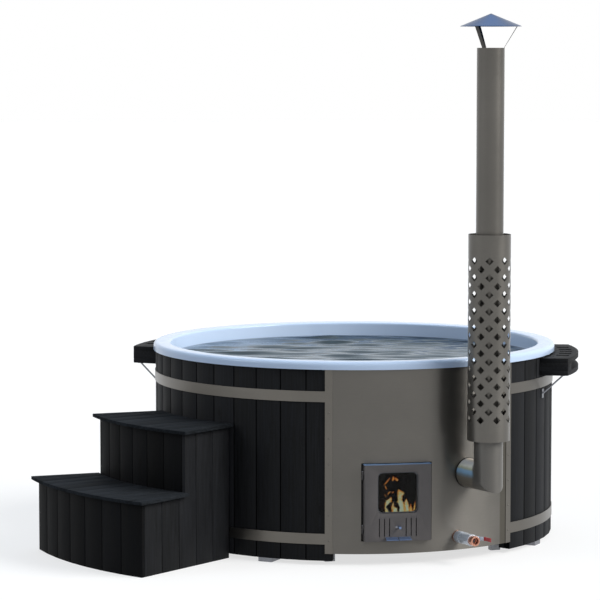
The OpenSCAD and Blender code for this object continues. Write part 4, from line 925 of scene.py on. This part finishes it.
# Where the flames and wisps stand, how cool they start, and their mesh
FIRE_OUT = 0.84
FIRE_GAP = 0.012
FIRE_CHILL = 0.05
THIN_TONGUES = (3, 4)
THIN_CHILL = 0.3
WISP_OUT = 0.86
WISP_CHILL = 0.45
TONGUE_SIDES = 14
TONGUE_RINGS = 6

# The window's glass, and how far things behind it shift sideways and down in the view for each
# metre that they stand back
WINDOW_OUT = 0.998
SIDE_DRIFT = 0.227
DROP = 0.16


class TUB_OT_flames(bpy.types.Operator):
    """Raise flames over the logs"""
    bl_idname = "tub.flames"
    bl_label = "Flames"
    bl_options = {"REGISTER", "UNDO"}

    def execute(self, context):
        dice = random.Random(sizes().seed + 2)

        def tongue(shape, cool, spine, out, chill):
            """Flat tube up a spine, moved so that it stands behind its place in the window."""
            back = WINDOW_OUT - out
            rings, hints = [], []
            steps = TONGUE_RINGS * (len(spine) - 1)
            for i in range(steps + 1):
                k = min(i // TONGUE_RINGS, len(spine) - 2)
                share = i / TONGUE_RINGS - k
                x, z, width = (a + (b - a) * share for a, b in zip(spine[k], spine[k + 1]))
                width *= dice.uniform(0.86, 1.14)
                x += dice.uniform(-0.1, 0.1) * width
                ring, hint = [], []
                for m in range(TONGUE_SIDES):
                    a = m * math.tau / TONGUE_SIDES
                    lap = 1 + 0.12 * math.sin(3 * a + 2 * i)
                    ring.append(around(DOOR_ANGLE, out + 0.3 * width * math.sin(a),
                                       x + SIDE_DRIFT * back + width * math.cos(a) * lap,
                                       z - DROP * back))
                    hint.append(chill + 0.45 * abs(math.cos(a)) ** 2 + 0.45 * (i / steps) ** 3)
                rings.append(ring)
                hints.append(hint)
            for row, hint in zip(loft(shape, rings), hints):
                for point, value in zip(row, hint):
                    point[cool] = value

        def build(shape):
            cool = shape.verts.layers.float.new("cool")
            for n, spine in enumerate(FIRE):
                tongue(shape, cool, spine, FIRE_OUT + FIRE_GAP * n,
                       THIN_CHILL if n in THIN_TONGUES else FIRE_CHILL)
            for spine in WISPS:
                tongue(shape, cool, spine, WISP_OUT, WISP_CHILL)

        new_piece("flames", build, flame())
        return {"FINISHED"}


def scatter_tree(name, material):
    """Tree that scatters faceted lumps over a flat bed by a seed."""
    tree, begin, end = new_tree(name, ("Lumps", "NodeSocketInt", 60),
                                ("Lump radius", "NodeSocketFloat", COAL_RADIUS),
                                ("Seed", "NodeSocketInt", 1))
    nodes, link = tree.nodes, tree.links.new
    density = nodes.new("ShaderNodeMath")
    density.operation = "MULTIPLY"
    density.inputs[1].default_value = COAL_DENSITY
    link(begin.outputs["Lumps"], density.inputs[0])
    points = nodes.new("GeometryNodeDistributePointsOnFaces")
    link(begin.outputs["Geometry"], points.inputs["Mesh"])
    link(density.outputs[0], points.inputs["Density"])
    link(begin.outputs["Seed"], points.inputs["Seed"])
    lump = nodes.new("GeometryNodeMeshIcoSphere")
    lump.inputs["Subdivisions"].default_value = 1
    link(begin.outputs["Lump radius"], lump.inputs["Radius"])
    place = nodes.new("GeometryNodeInstanceOnPoints")
    link(points.outputs["Points"], place.inputs["Points"])
    link(lump.outputs["Mesh"], place.inputs["Instance"])
    for target, least, most in (("Rotation", (0, 0, 0), (math.tau, math.tau, math.tau)),
                                ("Scale", (0.6, 0.5, 0.5), (1.2, 1.0, 0.9))):
        luck = nodes.new("FunctionNodeRandomValue")
        luck.data_type = "FLOAT_VECTOR"
        luck.inputs["Min"].default_value = least
        luck.inputs["Max"].default_value = most
        link(begin.outputs["Seed"], luck.inputs["Seed"])
        link(luck.outputs["Value"], place.inputs[target])
    end_tree(tree, place.outputs[0], material, end)
    return tree


def set_input(modifier, name, value):
    for item in modifier.node_group.interface.items_tree:
        if item.name == name and item.in_out == "INPUT":
            modifier[item.identifier] = value
            return
    raise RuntimeError("no input named " + name)


def grown(name, base, tree, body, slot, **inputs):
    """Runs a tree on a base mesh and keeps its result as a plain piece."""
    seedbed = new_object(name + "_base", base)
    modifier = seedbed.modifiers.new("Grow", "NODES")
    modifier.node_group = tree
    for key, value in inputs.items():
        set_input(modifier, key.replace("_", " "), value)
    graph = bpy.context.evaluated_depsgraph_get()
    mesh = bpy.data.meshes.new_from_object(seedbed.evaluated_get(graph))
    bpy.data.objects.remove(seedbed)
    if not mesh.polygons:
        raise RuntimeError(name + " came out empty")
    mesh.name = name
    return placed(name, mesh, body)


class TUB_OT_coals(bpy.types.Operator):
    """Heap glowing coals on the grate"""
    bl_idname = "tub.coals"
    bl_label = "Coals"
    bl_options = {"REGISTER", "UNDO"}

    def execute(self, context):
        bed = bpy.data.meshes.new("coal_bed")
        bed.from_pydata([around(DOOR_ANGLE, out, side, COAL_Z) for side, out in COAL_CORNERS],
                        [], [(0, 1, 2, 3)])
        grown("coals", bed, scatter_tree("coal_heap", char("hot_coal", 0.6)), "root",
              "raw_timber", Lumps=sizes().coals, Lump_radius=COAL_RADIUS, Seed=sizes().seed)
        return {"FINISHED"}


class TUB_OT_strip_heads(bpy.types.Operator):
    """Put domed heads on the screws of the panel's strips"""
    bl_idname = "tub.strip_heads"
    bl_label = "Strip screws"
    bl_options = {"REGISTER", "UNDO"}

    def execute(self, context):
        low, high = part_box("strip_screws")
        bottom, top = low[2] + SCREW_INSET, high[2] - SCREW_INSET
        metal = plated("screw_steel", tone(104, 101, 96), rough=0.35)
        head = self.head(metal)
        both = []
        for name, angle in SCREW_ROWS:
            line = bpy.data.meshes.new(name)
            line.from_pydata([around(angle, SCREW_OUT, 0, bottom + i * (top - bottom)
                                     / (SCREWS - 1)) for i in range(SCREWS)], [], [])
            both.append(grown(name, line, self.tree(name + "_row", head, metal), "root",
                              "zinc", Turn=(0.0, 0.0, math.radians(angle))))
        first = both[0]
        context.view_layer.objects.active = first
        with context.temp_override(active_object=first, selected_editable_objects=both,
                                   selected_objects=both):
            bpy.ops.object.join()
        first.name = "strip_heads"
        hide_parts("strip_screws")
        bpy.data.objects.remove(head)
        return {"FINISHED"}

    def head(self, metal):
        """Domed head on a short shank, facing -Y."""
        shape = bmesh.new()
        loft(shape, [[Vector((x, y, z)) for x, z in circle(radius, HEAD_STEPS)]
                     for radius, y in HEAD_PROFILE])
        return new_object("screw_head", mesh_of("screw_head", shape, metal))

    def tree(self, name, head, metal):
        """Tree that puts a head on each point of a row, turned to face outwards."""
        tree, begin, end = new_tree(name, ("Turn", "NodeSocketVector", (0.0, 0.0, 0.0)))
        source = tree.nodes.new("GeometryNodeObjectInfo")
        source.inputs["Object"].default_value = head
        place = tree.nodes.new("GeometryNodeInstanceOnPoints")
        tree.links.new(begin.outputs["Geometry"], place.inputs["Points"])
        tree.links.new(begin.outputs["Turn"], place.inputs["Rotation"])
        tree.links.new(source.outputs["Geometry"], place.inputs["Instance"])
        end_tree(tree, place.outputs[0], metal, end)
        return tree


class TUB_OT_stage(bpy.types.Operator):
    """Set the pale floor, the soft lamps and the camera"""
    bl_idname = "tub.stage"
    bl_label = "Stage"
    bl_options = {"REGISTER", "UNDO"}

    def execute(self, context):
        scene = context.scene
        scene.view_settings.view_transform = "Standard"
        self.floor()
        self.backdrop(scene)
        for settings in LAMPS:
            self.lamp(*settings)
        camera = bpy.data.cameras.new("camera")
        camera.lens = CAMERA_LENS
        camera.sensor_width = CAMERA_SENSOR
        camera.clip_end = CAMERA_REACH
        viewer = new_object("camera", camera)
        viewer.location = CAMERA_PLACE
        viewer.rotation_euler = (math.radians(90 - CAMERA_TILT), 0, 0)
        scene.camera = viewer
        return {"FINISHED"}

    def lamp(self, name, strength, width, source, colour):
        """Sunlight of a width in degrees, from the side of source."""
        light = bpy.data.lights.new(name, "SUN")
        light.energy = strength
        light.angle = math.radians(width)
        light.color = colour
        turn = Vector(source).to_track_quat("Z", "Y")
        new_object(name, light).rotation_euler = turn.to_euler()

    def seen(self, nodes, links):
        """1 on rays from the camera, off a glossy surface or through glass."""
        path = nodes.new("ShaderNodeLightPath")
        total = path.outputs["Is Camera Ray"]
        for name in ("Is Glossy Ray", "Is Transmission Ray"):
            more = nodes.new("ShaderNodeMath")
            more.operation = "MAXIMUM"
            links.new(total, more.inputs[0])
            links.new(path.outputs[name], more.inputs[1])
            total = more.outputs[0]
        return total

    def floor(self):
        """Matt floor that looks white where it is lit and keeps the tub's shadow."""
        material = bpy.data.materials.new("studio_floor")
        material.use_nodes = True
        nodes, links = material.node_tree.nodes, material.node_tree.links
        shader = nodes["Principled BSDF"]
        shader.inputs["Base Color"].default_value = FLOOR_COLOUR
        shader.inputs["Roughness"].default_value = 1.0
        shader.inputs["Specular IOR Level"].default_value = 0.0
        shader.inputs["Emission Color"].default_value = WHITE
        lift = nodes.new("ShaderNodeMath")
        lift.operation = "MULTIPLY"
        lift.inputs[1].default_value = FLOOR_LIFT
        links.new(self.seen(nodes, links), lift.inputs[0])
        links.new(lift.outputs[0], shader.inputs["Emission Strength"])
        mesh = bpy.data.meshes.new("floor")
        mesh.from_pydata([(x * FLOOR_REACH, y * FLOOR_REACH, 0) for x, y in (
            (-1, -1), (1, -1), (1, 1), (-1, 1))], [], [(0, 1, 2, 3)])
        mesh.materials.append(material)
        floor = new_object("floor", mesh)

    def backdrop(self, scene):
        """Pale blue light from all round, seen as plain white."""
        world = bpy.data.worlds.new("studio")
        scene.world = world
        world.use_nodes = True
        nodes, links = world.node_tree.nodes, world.node_tree.links
        shade = nodes.new("ShaderNodeMix")
        shade.data_type = "RGBA"
        shade.inputs[6].default_value = SKY_COLOUR
        shade.inputs[7].default_value = WHITE
        links.new(self.seen(nodes, links), shade.inputs[0])
        links.new(shade.outputs[2], nodes["Background"].inputs["Color"])


class TUB_PT_panel(bpy.types.Panel):
    """Lists the tub's steps"""
    bl_label = "Hot Tub"
    bl_idname = "TUB_PT_panel"
    bl_space_type = "VIEW_3D"
    bl_region_type = "UI"
    bl_category = "Hot Tub"

    def draw(self, context):
        for step in STEPS:
            self.layout.operator(step.bl_idname)
        for group in (context.scene.tub_sizes, context.scene.tub_colours):
            for key in group.__annotations__:
                self.layout.prop(group, key)


STEPS = (TUB_OT_timber, TUB_OT_steel, TUB_OT_liner, TUB_OT_heater, TUB_OT_valve,
         TUB_OT_water, TUB_OT_logs, TUB_OT_flames, TUB_OT_coals, TUB_OT_strip_heads,
         TUB_OT_stage)
CLASSES = (TubColours, TubSizes, *STEPS, TUB_PT_panel)


def register():
    for cls in CLASSES:
        bpy.utils.register_class(cls)
    bpy.types.Scene.tub_colours = PointerProperty(type=TubColours)
    bpy.types.Scene.tub_sizes = PointerProperty(type=TubSizes)


def unregister():
    del bpy.types.Scene.tub_sizes
    del bpy.types.Scene.tub_colours
    for cls in reversed(CLASSES):
        bpy.utils.unregister_class(cls)


def main():
    register()
    for step in STEPS:
        module, name = step.bl_idname.split(".")
        getattr(getattr(bpy.ops, module), name)()


if __name__ == "__main__":
    main()
